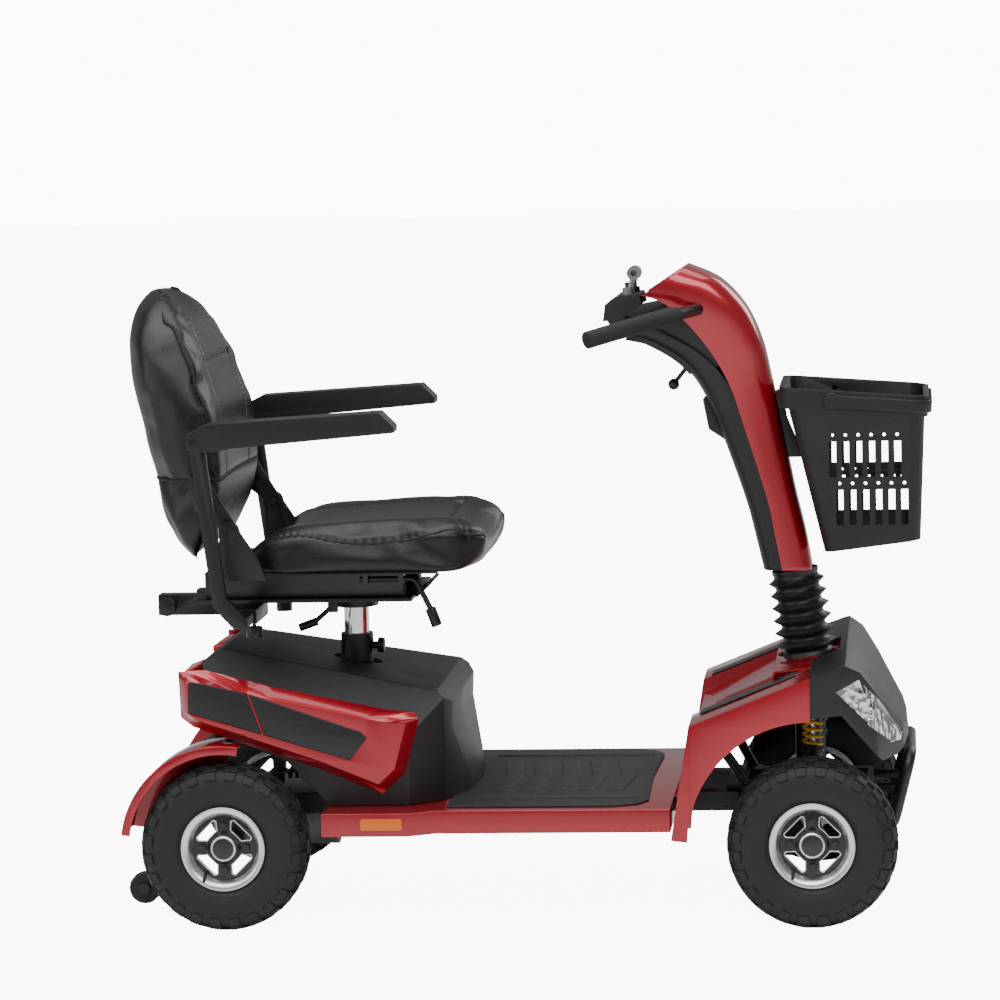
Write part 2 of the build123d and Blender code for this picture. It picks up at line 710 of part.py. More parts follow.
# ---------------------------------------------------------------- tiller

FRONT_LINE = [(725, 1005), (772, 983), (812, 940), (837, 885), (850, 829), (867, 742), (885, 647), (910, 522)]
SEAM_LINE = [(862, 522), (840, 637), (807, 748), (784, 819), (752, 877), (713, 925), (668, 958), (655, 962)]
REAR_LINE = [(615, 893), (662, 881), (710, 849), (745, 799), (774, 727), (806, 632), (832, 522)]


def inset(points, dx, dz=0):
    return [(x + dx, z + dz) for x, z in points]


def head_width(low, high):
    """The front view outline of the tiller: a slim column under a wider head."""
    w, h = low, high
    return [(-w, 515), (w, 515), (w, 800), (h, 890), (h, 1010), (-h, 1010), (-h, 890), (-w, 800)]


def tiller_front_cover():
    """The red front shell of the tiller, from the hood over the console down to the boot."""
    outer = slab(FRONT_LINE + SEAM_LINE, -90, 90) & section(head_width(TILLER_HALF_W, HEAD_HALF_W), 550, 950)
    line_in = inset(FRONT_LINE, -4, -3)
    line_in[-1] = (906, 510)
    seam_in = [
        (850, 510),
        (826, 637),
        (795, 748),
        (772, 815),
        (742, 868),
        (700, 915),
        (660, 930),
        (640, 935),
    ]
    inner = slab(line_in + seam_in, -90, 90)
    inner &= section(head_width(TILLER_HALF_W - 3, HEAD_HALF_W - 3), 550, 950)
    cover = outer - inner
    return cover - bar_tunnel()


def bar_tunnel():
    """The openings through both covers for the handlebar and, lower down, for the throttle lever."""
    tunnel = rod_y(-90, 90, HANDLEBAR_X - 8, HANDLEBAR_Z - 6, BAR_R + 14)
    return tunnel + box(628, 682, -90, 90, THROTTLE_Z - 2, THROTTLE_Z + 16)


def tiller_rear_cover():
    """The dark rear shell of the tiller, which faces the rider and carries the bag hook."""
    seam = inset(SEAM_LINE, -GAP, -GAP)
    outline = REAR_LINE[::-1] + [(612, 922 - GAP), (651, 945 - GAP), (712, 912)] + seam[4::-1]
    outer = slab(outline, -90, 90) & section(head_width(TILLER_HALF_W, HEAD_HALF_W), 550, 950)
    rear_in = inset(REAR_LINE, 3, 3)
    rear_in[-1] = (836, 510)
    front_in = [
        (872, 510),
        (850, 637),
        (815, 748),
        (790, 822),
        (758, 882),
        (715, 945),
        (655, 945),
        (618, 915),
    ]
    inner = slab(rear_in[::-1] + front_in[::-1], -90, 90)
    inner &= section(head_width(TILLER_HALF_W - 3, HEAD_HALF_W - 3), 550, 950)
    cover = outer - inner - bar_tunnel()
    hook = slab([(776, 727), (750, 745), (741, 793), (752, 800)], -16, 16)
    hook -= slab(REAR_LINE + [(900, 522), (900, 900)], -20, 20)
    slot = box(TILT_LEVER[0] - 44, TILT_LEVER[0] + 12, -9, 9, TILT_LEVER[1] - 60, TILT_LEVER[1] + 20)
    return cover + hook - slot


def tiller_tubes():
    """The steel mast with its pivot eye and basket lugs, and the handlebar across its top."""
    pivot = (STEM_X, 0, TILT_Z)
    top = (HANDLEBAR_X, 0, HANDLEBAR_Z)
    mast = bent_bar([pivot, (MAST_TOP[0], 0, MAST_TOP[1]), top], 70, MAST_R)
    mast += rod_y(-18, 18, STEM_X, TILT_Z, 15)
    mast -= rod_y(-18, 18, STEM_X, TILT_Z, TILT_PIN_R + RUN)
    end_x, end_y, end_z = BAR_END
    left = [(end_x, end_y, end_z), (690, 165, 931), (HANDLEBAR_X, 70, HANDLEBAR_Z)]
    bar_path = left + [(x, -y, z) for x, y, z in reversed(left)]
    bracket = slab([(638, 896), (662, 896), (744, 926), (740, 938), (660, 903), (638, 903)], -10, 10)
    bracket += rod_z(900, THROTTLE_Z + 17, THROTTLE_X, 0, 4)
    lever_lug = slab([(770, 868), (724, 862), (718, 850), (726, 842), (786, 852)], 12, 17)
    lever_lug += rod_y(-12, 13, *TILT_LEVER, 3)
    standoffs = Part()
    for x, z in ((853, 600), (821, 740)):
        standoffs += rod_y(GAP - TILLER_HALF_W + 3, TILLER_HALF_W - 3 - GAP, x, z, 6)
    return mast + bent_bar(bar_path, 55, BAR_R) + bracket + lever_lug + standoffs


def hand_grips():
    """Foam grips on the ends of the handlebar, closed at their tips."""
    end = Vector(*BAR_END)
    inward = (Vector(690, 165, 931) - end).normalized()
    line = Line(end - inward * 4, end + inward * 92)
    grip = sweep((line ^ 0) * Circle(GRIP_R), path=line)
    grip += Pos(*(end - inward * 4)) * Sphere(GRIP_R)
    core = Line(end, end + inward * 93)
    grip -= sweep((core ^ 0) * Circle(BAR_R + 0.02), path=core)
    return pair(grip)


CONSOLE = [(588, 921), (593, 948), (610, 961), (650, 965), (653, 962), (650, 946), (650, 944), (612, 923.5)]


CONTROL_TILT = -4.4


def on_console(shape, x, y):
    """A control stood on the console's sloping top."""
    z = 960 + 3 * (x - 611) / 39
    return Pos(x, y, z) * Rot(0, CONTROL_TILT, 0) * shape


def console():
    """The console between the hood and the rider, with a hole for each control and an open front."""
    shell = slab([(590, 922), (594, 948), (611, 960), (648, 962.8), (651, 945), (612, 922)], -70, 70)
    shell -= slab([(595, 927), (598, 946), (612, 956), (649, 959), (656, 925)], -66, 66)
    for r, y in ((3 + RUN, 24), (4 + RUN, -12), (5, -46)):
        shell -= on_console(Cylinder(r, 30), DIAL_X, y)
    return shell


DIAL_X = 630


def speed_dial():
    """The speed dial: a skirt and a knob over its shaft."""
    dial = Pos(0, 0, 4.3) * Cylinder(14, 8) + Pos(0, 0, 12) * Cylinder(10, 8) + Cylinder(3, 24)
    return on_console(dial, DIAL_X, 24)


def horn_button():
    """The horn button: its cap stands two millimetres off the panel on its stem."""
    return on_console(Pos(0, 0, 4) * Cylinder(8, 4) + Pos(0, 0, -2) * Cylinder(4, 12), DIAL_X, -12)


def accessory_mount():
    """A ball mount for a mirror: a foot in the console, an arm and a socket with its bore."""
    foot = on_console(Pos(0, 0, 6) * Cylinder(9, 11.4) + Cylinder(5 - RUN, 12), DIAL_X, -46)
    arm = bar((632, -46, 964), (640, -46, 992), 6)
    socket = rod_y(-68, -30, 640, 996, 11)
    return foot + arm + socket - rod_y(-69, -48, 640, 996, SOCKET_R)


SOCKET_R = 5


def throttle_lever():
    """The rocking throttle: a hub on its upright pin, a bar through the covers and a paddle at each end."""
    lever = rod_z(THROTTLE_Z, THROTTLE_Z + 14, THROTTLE_X, 0, 11)
    lever += box(THROTTLE_X - 4, THROTTLE_X + 4, -128, 128, THROTTLE_Z + 2, THROTTLE_Z + 10)
    for side in (-1, 1):
        y0, y1 = sorted((side * 110, side * 172))
        lever += box(THROTTLE_X - 22, THROTTLE_X + 4, y0, y1, THROTTLE_Z + 3, THROTTLE_Z + 8)
    lever = lever - rod_z(THROTTLE_Z, THROTTLE_Z + 14, THROTTLE_X, 0, 4 + RUN)
    return lever


def tilt_lever():
    """The lever with a ball knob that frees the tiller's rake."""
    x, z = TILT_LEVER
    lever = rod_y(-6, 6, x, z, 8) + bar((x, 0, z), (x - 26, 0, z - 32), 3.5)
    lever += Pos(x - 29, 0, z - 36) * Sphere(9)
    return lever - rod_y(-6, 6, x, z, 3 + RUN)


# ---------------------------------------------------------------- basket

BASKET_REAR = (864, 818)
BASKET_FRONT = (1096, 800)
BASKET_BASE = ((930, 557), (1080, 575))
BASKET_HALF_W = 132
BASKET_RIM_H = 32
HANDLE_PIVOT = (946, 796)
HANDLE_GAP = 1.4


def sloped_plane(rear, front):
    """A plane through two side view points, facing up, centred between them."""
    (x0, z0), (x1, z1) = rear, front
    middle = ((x0 + x1) / 2, 0, (z0 + z1) / 2)
    return Plane(origin=middle, x_dir=(x1 - x0, 0, z1 - z0), z_dir=(z0 - z1, 0, x1 - x0))


def rim_plane():
    """The plane of the basket's rim, which falls a little to the front."""
    return sloped_plane(BASKET_REAR, BASKET_FRONT)


def rim_outline(margin):
    length = BASKET_FRONT[0] - BASKET_REAR[0]
    return RectangleRounded(length + 2 * margin, 2 * (BASKET_HALF_W + margin), 30 + margin)


def basket_body(wall):
    """The tapered body of the basket, or with a wall the room inside it."""
    length = BASKET_BASE[1][0] - BASKET_BASE[0][0]
    base = sloped_plane(*BASKET_BASE).offset(wall)
    lower = base * RectangleRounded(length - 2 * wall, 2 * (106 - wall), 24)
    upper = rim_plane().offset(wall / 3) * rim_outline(-6 - wall)
    return loft([lower, upper])


def basket():
    """The plastic basket: tapered walls, slots and small holes, a turned rim and two mast lugs."""
    shell = basket_body(0)
    shell += extrude(rim_plane() * rim_outline(0), amount=-BASKET_RIM_H)
    shell -= basket_body(3)
    for row, low in enumerate((600, 676)):
        for n in range(6):
            x = 950 + 20 * n - 10 * row
            shell -= box(x, x + 11, -140, 140, low, low + 56)
            shell -= rod_y(-140, 140, x + 5.5, low + 66, 2.5)
        for n in range(-3, 4):
            shell -= box(1060, 1110, n * 22 - 6, n * 22 + 6, low, low + 56)
    shell -= rod_y(-140, 140, *HANDLE_PIVOT, 4 + RUN)
    lug = slab([(850, 800), (866, 806), (872, 760), (896, 700), (860, 700)], -30, 30)
    return shell + lug - slab(inset(FRONT_LINE, GAP) + [(700, 522), (700, 1005)], -40, 40)


def basket_handle():
    """The carry handle, folded down round the front half of the rim, with a pin at each end."""
    band = extrude(rim_plane().offset(-6) * rim_outline(HANDLE_GAP + 4), amount=-20)
    band -= extrude(rim_plane() * rim_outline(HANDLE_GAP), amount=-40)
    handle = band & box(HANDLE_PIVOT[0], 1120, -200, 200, 700, 900)
    for side in (-1, 1):
        y0, y1 = sorted((side * (BASKET_HALF_W + HANDLE_GAP), side * (BASKET_HALF_W + HANDLE_GAP + 4)))
        handle += rod_y(y0, y1, *HANDLE_PIVOT, 13)
        p0, p1 = sorted((side * (BASKET_HALF_W - 3), side * (BASKET_HALF_W + HANDLE_GAP + 1)))
        handle += rod_y(p0, p1, *HANDLE_PIVOT, 4)
    return handle


# ---------------------------------------------------------------- seat


def seat_post():
    return rod_z(POST_LOW, POST_TOP, POST_X, 0, POST_R) + rod_z(POST_TOP, POST_TOP + 21, POST_X, 0, SPIGOT_R)


def seat_base():
    """The swivel plate with its hub, the lower slide rails, the arm sockets and the rear accessory tube."""
    plate = box(-67, 284, -PLATE_HALF_W, PLATE_HALF_W, PLATE_Z, PLATE_Z + PLATE_T)
    plate += slab([(280, 492), (300, 511), (305, 508), (287, 492)], -80, 80)
    plate += rod_z(POST_TOP + GAP, PLATE_Z, POST_X, 0, HUB_PLATE_R)
    plate -= rod_z(POST_TOP, PLATE_Z + PLATE_T, POST_X, 0, SPIGOT_R + RUN)
    z = PLATE_Z + PLATE_T
    for side in (-1, 1):
        y = side * SLIDE_Y
        plate += box(-60, 270, y - SLIDE_W / 2, y + SLIDE_W / 2, z, z + SLIDE_LOW_T)
        y0, y1 = sorted((side * 90, side * 205))
        plate += box(24, 50, y0, y1, PLATE_Z - 22, PLATE_Z)
        plate -= box(27, 47, *sorted((side * 89, side * 206)), PLATE_Z - 19, PLATE_Z - 3)
        plate -= rod_z(PLATE_Z - 24, PLATE_Z - 18, 37, side * 150, 3 + GAP)
    plate += box(-141, 10, -16, 16, PLATE_Z - 33, PLATE_Z) - box(-142, 9, -RECEIVER, RECEIVER, *TUBE_INSIDE)
    plate += rod_y(-34, -15, -122, PLATE_Z - 17, 5) + rod_y(-44, -30, -122, PLATE_Z - 17, 14)
    plate += box(142, 158, -70, -63, PLATE_Z - 24, PLATE_Z)
    return plate + rod_y(-64, -44, *SWIVEL_PIN, 3)


RECEIVER = 13
TUBE_INSIDE = (PLATE_Z - 29.5, PLATE_Z - 3.5)
SWIVEL_PIN = (150, PLATE_Z - 14)


def arm_supports():
    """The steel arm brackets: a clamped peg in each socket and a flat upright to the armrest's pin."""
    y0, y1 = ARM_Y - ARM_BAR_T / 2, ARM_Y + ARM_BAR_T / 2
    outline = [(-37, 763), (-13, 763), (14, 520), (40, 492), (48, 472), (26, 470), (-6, 505)]
    upright = slab(outline, y0, y1) + rod_y(y0, y1, *ARM_PIVOT, 12)
    peg = box(27 + GAP, 47 - GAP, 100, y1, PLATE_Z - 19 + GAP, PLATE_Z - 3 - GAP)
    pin = rod_y(ARM_Y - 22, ARM_Y + 22, *ARM_PIVOT, HINGE_PIN_R - 1)
    screw = rod_z(PLATE_Z - 40, PLATE_Z - 18, 37, 150, 3) + rod_z(PLATE_Z - 50, PLATE_Z - 34, 37, 150, 13)
    return pair(upright + peg + pin + screw)


def armrest():
    """The left armrest: a padded channel with two cheeks on the support's pin."""
    outline = [
        (-36, 775),
        (-36, 752),
        (-22, 748),
        (5, 747),
        (30, 752),
        (284, 772),
        (284, 782),
        (262, 804),
        (-5, 790),
    ]
    body = slab(outline, ARM_Y - 24, ARM_Y + 24)
    half = ARM_BAR_T / 2 + 0.5
    body -= slab([(-60, 740), (14, 740), (14, 777), (-60, 777)], ARM_Y - half, ARM_Y + half)
    return body - rod_y(ARM_Y - 30, ARM_Y + 30, *ARM_PIVOT, HINGE_PIN_R - 1 + RUN)


def seat_frame():
    """The sliding frame: two rails that wrap the lower ones, the pan and the hinge cheeks of the back."""
    low = PLATE_Z + PLATE_T
    hx, hz = BACK_HINGE
    frame = box(-20, 330, -165, 165, PAN_Z, PAN_Z + PAN_T)
    for side in (-1, 1):
        y = side * SLIDE_Y
        half = SLIDE_W / 2
        frame += box(-45, 270, y - half - 4, y + half + 4, low + 2, PAN_Z)
        frame -= box(-46, 271, y - half - GAP, y + half + GAP, low, low + SLIDE_LOW_T + GAP)
        y0, y1 = sorted((side * 216.3, side * 222))
        cheek = [(hx - 16, hz), (hx - 16, PAN_Z), (70, PAN_Z), (60, 570), (hx + 16, hz)]
        frame += slab(cheek, y0, y1) + rod_y(y0, y1, hx, hz, 16)
        frame += box(-2, 40, *sorted((side * 160, side * 222)), PAN_Z, PAN_Z + PAN_T)
        frame += rod_y(*sorted((side * 206, side * 226)), hx, hz, HINGE_PIN_R)
    for x in (212, 268):
        frame += box(x, x + 8, -158, -142, 524, PAN_Z)
    return frame - rod_x(200, 290, -150, 531, 4.5 + RUN)


def seat_cushion():
    """The seat cushion, as a plain solid of its outer shape."""
    seat = PAN_Z + PAN_T + GAP
    side = [
        (36, 562),
        (34, 598),
        (62, 612),
        (121, 622),
        (338, 631),
        (400, 623),
        (421, 604),
        (418, 590),
        (400, 566),
        (361, 547),
        (330, seat),
        (50, seat),
    ]
    outline = [(34, 195), (100, SEAT_HALF_W), (350, SEAT_HALF_W), (400, 195), (422, 140)]
    return slab(side, -230, 230) & plan(both_sides(outline), 500, 700)


def backrest_frame():
    """The steel hoop in the back, with the two hinge plates at its feet."""
    hx, hz = BACK_HINGE
    frame = Part()
    for side in (-1, 1):
        y0, y1 = sorted((side * BACK_HALF_W, side * (BACK_HALF_W + 4)))
        frame += slab([(hx + 4, hz - 12), (hx + 12, hz + 6), (-20, 700), (-48, 700), (-40, 650)], y0, y1)
        frame += rod_y(y0, y1, hx, hz, 13)
        frame -= rod_y(y0 - 1, y1 + 1, hx, hz, HINGE_PIN_R + RUN)
    return frame


def backrest_pad():
    """The back cushion, as a plain solid of its outer shape."""
    side = [
        (-62, 562),
        (-100, 580),
        (-118, 620),
        (-120, 690),
        (-138, 758),
        (-162, 875),
        (-172, 930),
        (-168, 968),
        (-140, 992),
        (-95, 998),
        (-55, 962),
        (-30, 872),
        (-7, 790),
        (-2, 700),
        (-10, 640),
        (-30, 590),
    ]
    half = [(562, 150), (575, 205), (640, BACK_HALF_W), (900, BACK_HALF_W), (975, 175), (999, 110)]
    front = [(y, z) for z, y in both_sides(half)]
    return slab(side, -230, 230) & section(front, -180, 30)


def slide_lever():
    """The seat's slide lever: a bar in two clips under the pan that turns down to its knob."""
    lever = bent_bar([(206, -150, 531), (293, -150, 531), (318, -150, 480)], 14, 4.5)
    return lever + bar((316, -150, 484), (326, -150, 456), 8.5)


def swivel_lever():
    """The swivel lever: an eye on its pin under the plate, and a bar back to its knob."""
    x, z = SWIVEL_PIN
    lever = rod_y(-62, -48, x, z, 8) + bar((x, -55, z), (116, -55, 449), 4)
    lever += bar((122, -55, 452), (94, -55, 442), 6.5)
    return lever - rod_y(-62, -48, x, z, 3 + RUN)


def column_boot():
    """The rubber bellows round the tilt joint: ripples along the mast's line, hollow inside."""
    rings = 6
    length = 126
    profile = []
    for n in range(rings):
        z = n * length / rings
        profile += [(36, z), (44, z + length / rings / 2)]
    profile.append((36, length))
    inner = [(r - 3, z) for r, z in reversed(profile)]
    face = Plane.XZ * Polygon(*profile, *inner, align=None)
    boot = revolve(face, axis=Axis.Z)
    return Pos(STEM_X + 1, 0, 392) * Rot(0, -8.7, 0) * boot


# ---------------------------------------------------------------- output


def main():
    front, rear = WHEELBASE, 0
    parts = {
        "chassis_frame": chassis_frame(),
        "transaxle": transaxle(),
        "batteries": batteries(),
        "controller": controller(),
        "floor_pan": floor_pan(),
        "foot_mat": foot_mat(),
        "rear_cover": rear_cover(),
        "side_panels": pair(side_panel()),
        "side_inserts": side_inserts(),
        "tail_lights": tail_lights(),
        "rear_fenders": rear_fenders(),
        "side_reflectors": side_reflectors(),
        "front_cowl": front_cowl(),
        "cowl_strips": cowl_strips(),
        "nose_cover": nose_cover(),
        "headlights": headlights(),
        "front_bumper": front_bumper(),
        "shock_dampers": shock_dampers(),
        "spring_left": front_spring(),
        "spring_right": flip(front_spring()),
        "suspension_arm_left": suspension_arm(),
        "suspension_arm_right": flip(suspension_arm()),
        "knuckle_left": knuckle(),
        "knuckle_right": flip(knuckle()),
        "steering_stem": steering_stem(),
        "tie_rods": tie_rods(),
        "column_boot": column_boot(),
        "tiller_front_cover": tiller_front_cover(),
        "tiller_rear_cover": tiller_rear_cover(),
        "tiller_tubes": tiller_tubes(),
        "hand_grips": hand_grips(),
        "console": console(),
        "speed_dial": speed_dial(),
        "horn_button": horn_button(),
        "accessory_mount": accessory_mount(),
        "throttle_lever": throttle_lever(),
        "tilt_lever": tilt_lever(),
        "basket": basket(),
        "basket_handle": basket_handle(),
        "seat_post": seat_post(),
        "seat_base": seat_base(),
        "swivel_lever": swivel_lever(),
        "arm_supports": arm_supports(),
        "armrest_left": armrest(),
        "armrest_right": flip(armrest()),
        "seat_frame": seat_frame(),
        "seat_cushion": seat_cushion(),
        "slide_lever": slide_lever(),
        "backrest_frame": backrest_frame(),
        "backrest_pad": backrest_pad(),
    }
    for end, x in (("front", front), ("rear", rear)):
        for name, side in (("left", 1), ("right", -1)):
            parts[f"tyre_{end}_{name}"] = tyre(side, x)
            parts[f"rim_{end}_{name}"] = rim(side, x, x == rear)
    for name, side in (("left", 1), ("right", -1)):
        parts["anti_tip_wheel_" + name] = anti_tip_wheel(side)
    os.makedirs("parts", exist_ok=True)
    for name, shape in parts.items():
        export_step(Pos(-CENTRE_X, 0, 0) * shape, f"parts/{name}.step")


main()
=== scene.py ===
from math import cos, pi, radians, sin

import bpy
from mathutils import Euler, Matrix, Vector
from mathutils.kdtree import KDTree


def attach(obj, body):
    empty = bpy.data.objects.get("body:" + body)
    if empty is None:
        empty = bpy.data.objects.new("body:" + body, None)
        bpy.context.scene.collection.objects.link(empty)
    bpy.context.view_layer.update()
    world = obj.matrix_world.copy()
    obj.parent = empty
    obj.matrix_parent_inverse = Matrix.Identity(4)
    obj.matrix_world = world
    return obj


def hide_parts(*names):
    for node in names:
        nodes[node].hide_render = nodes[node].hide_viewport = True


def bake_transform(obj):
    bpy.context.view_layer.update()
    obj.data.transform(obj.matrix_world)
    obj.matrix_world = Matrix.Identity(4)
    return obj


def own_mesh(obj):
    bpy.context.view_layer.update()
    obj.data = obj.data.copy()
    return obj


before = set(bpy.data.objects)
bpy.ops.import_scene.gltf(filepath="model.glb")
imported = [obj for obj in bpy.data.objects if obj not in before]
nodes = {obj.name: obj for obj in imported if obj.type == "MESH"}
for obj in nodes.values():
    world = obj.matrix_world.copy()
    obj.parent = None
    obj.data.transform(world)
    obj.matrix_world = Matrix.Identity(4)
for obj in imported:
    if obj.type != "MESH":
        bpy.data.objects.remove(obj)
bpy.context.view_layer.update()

# ------------------------------------------------------------------ studio
# A pale, faintly glossy floor under four big softboxes and a white sky.
# The camera stands a little ahead of the scooter's right side, at a seated eye's height.
FLOOR_HALF = 30.0
CAMERA_AT = (0.6010, -6.1788, 1.3108)
CAMERA_TURN = (radians(83.8), 0, radians(6.0))
CAMERA_ROLL = radians(-1.5)
CAMERA_LENS = 141.2

camera_data = bpy.data.cameras.new("studio_camera")
camera_data.lens = CAMERA_LENS
camera_data.clip_end = 200
camera = bpy.data.objects.new("studio_camera", camera_data)
camera.location = CAMERA_AT
camera.rotation_euler = (Euler(CAMERA_TURN).to_matrix() @ Matrix.Rotation(CAMERA_ROLL, 3, "Z")).to_euler()
bpy.context.collection.objects.link(camera)
bpy.context.scene.camera = camera


def start_clean():
    """Nothing selected, so that the next operator acts on its own piece only."""
    if bpy.context.mode != "OBJECT":
        bpy.ops.object.mode_set(mode="OBJECT")
    bpy.ops.object.select_all(action="DESELECT")


def plain_finish(name, colour, roughness, metallic=0.0):
    """A material with its shader set; returns the material, its nodes, links and shader."""
    finish = bpy.data.materials.new(name)
    finish.use_nodes = True
    tree = finish.node_tree
    shader = tree.nodes["Principled BSDF"]
    shader.inputs["Base Color"].default_value = (*colour, 1)
    shader.inputs["Roughness"].default_value = roughness
    shader.inputs["Metallic"].default_value = metallic
    return finish, tree.nodes, tree.links, shader


def softbox(name, at, aim, width, height, watts):
    """A rectangular light hung at one point and aimed at another."""
    light_data = bpy.data.lights.new(name, "AREA")
    light_data.shape = "RECTANGLE"
    light_data.size = width
    light_data.size_y = height
    light_data.energy = watts
    light = bpy.data.objects.new(name, light_data)
    light.location = at
    light.rotation_euler = (Vector(aim) - Vector(at)).to_track_quat("-Z", "Y").to_euler()
    bpy.context.collection.objects.link(light)


softbox("key_softbox", (1.6, -3.4, 3.6), (0, 0, 0.4), 3.2, 2.0, 95)
softbox("fill_softbox", (-3.6, -2.2, 1.8), (0, 0, 0.5), 2.2, 2.2, 38)
softbox("top_softbox", (0, 0.6, 4.2), (0, 0, 0.4), 4.0, 2.6, 75)
softbox("back_softbox", (2.8, 3.6, 2.6), (0, 0, 0.5), 2.4, 2.0, 55)

sun_data = bpy.data.lights.new("even_daylight", "SUN")
sun_data.energy = 1.7
sun_data.angle = radians(50)
sun = bpy.data.objects.new("even_daylight", sun_data)
sun.rotation_euler = (radians(18), radians(-12), 0)
bpy.context.collection.objects.link(sun)

# The paper behind is white, but it throws less light on the scooter than the softboxes do.
sky = bpy.data.worlds.new("studio_sky")
sky.use_nodes = True
sky_nodes, sky_links = sky.node_tree.nodes, sky.node_tree.links
thrown = sky_nodes["Background"]
thrown.inputs["Color"].default_value = (1.0, 1.0, 1.0, 1)
thrown.inputs["Strength"].default_value = 0.26
paper = sky_nodes.new("ShaderNodeBackground")
paper.inputs["Color"].default_value = (1.0, 1.0, 1.0, 1)
paper.inputs["Strength"].default_value = 11.0
seen = sky_nodes.new("ShaderNodeLightPath")
choose = sky_nodes.new("ShaderNodeMixShader")
sky_links.new(seen.outputs["Is Camera Ray"], choose.inputs["Fac"])
sky_links.new(thrown.outputs["Background"], choose.inputs[1])
sky_links.new(paper.outputs["Background"], choose.inputs[2])
sky_links.new(choose.outputs["Shader"], sky_nodes["World Output"].inputs["Surface"])
bpy.context.scene.world = sky

start_clean()
bpy.ops.mesh.primitive_plane_add(size=2 * FLOOR_HALF, location=(0, 0, 0))
floor = bpy.context.object
floor.name = "studio_floor"
floor_finish, floor_parts, floor_links, floor_shader = plain_finish(
    "pale_studio_floor", (0.93, 0.93, 0.935), 0.22
)
floor_glow = floor_parts.new("ShaderNodeEmission")
floor_glow.inputs["Strength"].default_value = 9.0
floor_seen = floor_parts.new("ShaderNodeLightPath")
no_glow = floor_parts.new("ShaderNodeEmission")
no_glow.inputs["Strength"].default_value = 0.0
glow_choice = floor_parts.new("ShaderNodeMixShader")
floor_sum = floor_parts.new("ShaderNodeAddShader")
floor_links.new(floor_seen.outputs["Is Camera Ray"], glow_choice.inputs["Fac"])
floor_links.new(no_glow.outputs["Emission"], glow_choice.inputs[1])
floor_links.new(floor_glow.outputs["Emission"], glow_choice.inputs[2])
floor_links.new(floor_shader.outputs["BSDF"], floor_sum.inputs[0])
floor_links.new(glow_choice.outputs["Shader"], floor_sum.inputs[1])
floor_links.new(floor_sum.outputs["Shader"], floor_parts["Material Output"].inputs["Surface"])
floor.data.materials.append(floor_finish)

# ------------------------------------------------------------------ frame
# Welded steel tube and plate, blasted and powder coated satin black.
# Only the ends, the spring tower and the struts behind the front wheels show. Its finish, like the
# others, changes slowly in tone and gathers a little road dust low down.


def new_group(name, inputs, outputs):
    """An empty node group with its sockets made, and its two end nodes."""
    group = bpy.data.node_groups.new(name, "ShaderNodeTree")
    for label, kind, value in inputs:
        socket = group.interface.new_socket(name=label, in_out="INPUT", socket_type=kind)
        socket.default_value = value
    for label, kind in outputs:
        group.interface.new_socket(name=label, in_out="OUTPUT", socket_type=kind)
    entry = group.nodes.new("NodeGroupInput")
    end = group.nodes.new("NodeGroupOutput")
    return group, entry, end


def maths(tree, kind, a, b=None):
    """One sum in a node tree, on numbers or on other nodes' outputs."""
    step = tree.nodes.new("ShaderNodeMath")
    step.operation = kind
    for socket, value in zip(step.inputs, (a, b)):
        if value is None:
            continue
        if isinstance(value, (int, float)):
            socket.default_value = value
        else:
            tree.links.new(value, socket)
    return step.outputs[0]


def mixed_colour(tree, factor, a, b):
    """A mix of two colours by a factor, each a value or another node's output."""
    mix = tree.nodes.new("ShaderNodeMix")
    mix.data_type = "RGBA"
    for socket, value in ((mix.inputs["Factor"], factor), (mix.inputs[6], a), (mix.inputs[7], b)):
        if isinstance(value, (int, float)):
            socket.default_value = value
        elif isinstance(value, tuple):
            socket.default_value = (*value, 1)
        else:
            tree.links.new(value, socket)
    return mix.outputs[2]


mould_grain, entry, end = new_group(
    "mould grain", [("Scale", "NodeSocketFloat", 900.0)], [("Height", "NodeSocketFloat")]
)
place = mould_grain.nodes.new("ShaderNodeTexCoord")
cells = mould_grain.nodes.new("ShaderNodeTexVoronoi")
cells.feature = "DISTANCE_TO_EDGE"
fine = mould_grain.nodes.new("ShaderNodeTexNoise")
fine.inputs["Detail"].default_value = 4
mould_grain.links.new(place.outputs["Object"], cells.inputs["Vector"])
mould_grain.links.new(place.outputs["Object"], fine.inputs["Vector"])
mould_grain.links.new(entry.outputs["Scale"], cells.inputs["Scale"])
mould_grain.links.new(maths(mould_grain, "MULTIPLY", entry.outputs["Scale"], 1.7), fine.inputs["Scale"])
creases = maths(mould_grain, "MINIMUM", maths(mould_grain, "MULTIPLY", cells.outputs["Distance"], 3.0), 0.55)
pebbles = maths(mould_grain, "MULTIPLY", fine.outputs["Fac"], 0.35)
mould_grain.links.new(maths(mould_grain, "ADD", creases, pebbles), end.inputs["Height"])

aged_tone, entry, end = new_group(
    "aged tone",
    [
        ("Colour", "NodeSocketColor", (0.5, 0.5, 0.5, 1)),
        ("Roughness", "NodeSocketFloat", 0.5),
        ("Patchiness", "NodeSocketFloat", 0.1),
        ("Dust", "NodeSocketFloat", 0.1),
    ],
    [("Colour", "NodeSocketColor"), ("Roughness", "NodeSocketFloat")],
)
place = aged_tone.nodes.new("ShaderNodeTexCoord")
height = aged_tone.nodes.new("ShaderNodeSeparateXYZ")
patches = aged_tone.nodes.new("ShaderNodeTexNoise")
patches.inputs["Scale"].default_value = 9
patches.inputs["Detail"].default_value = 6
specks = aged_tone.nodes.new("ShaderNodeTexNoise")
specks.inputs["Scale"].default_value = 70
specks.inputs["Detail"].default_value = 8
for texture in (patches, specks):
    aged_tone.links.new(place.outputs["Object"], texture.inputs["Vector"])
aged_tone.links.new(place.outputs["Object"], height.inputs["Vector"])
swing = maths(aged_tone, "SUBTRACT", patches.outputs["Fac"], 0.5)
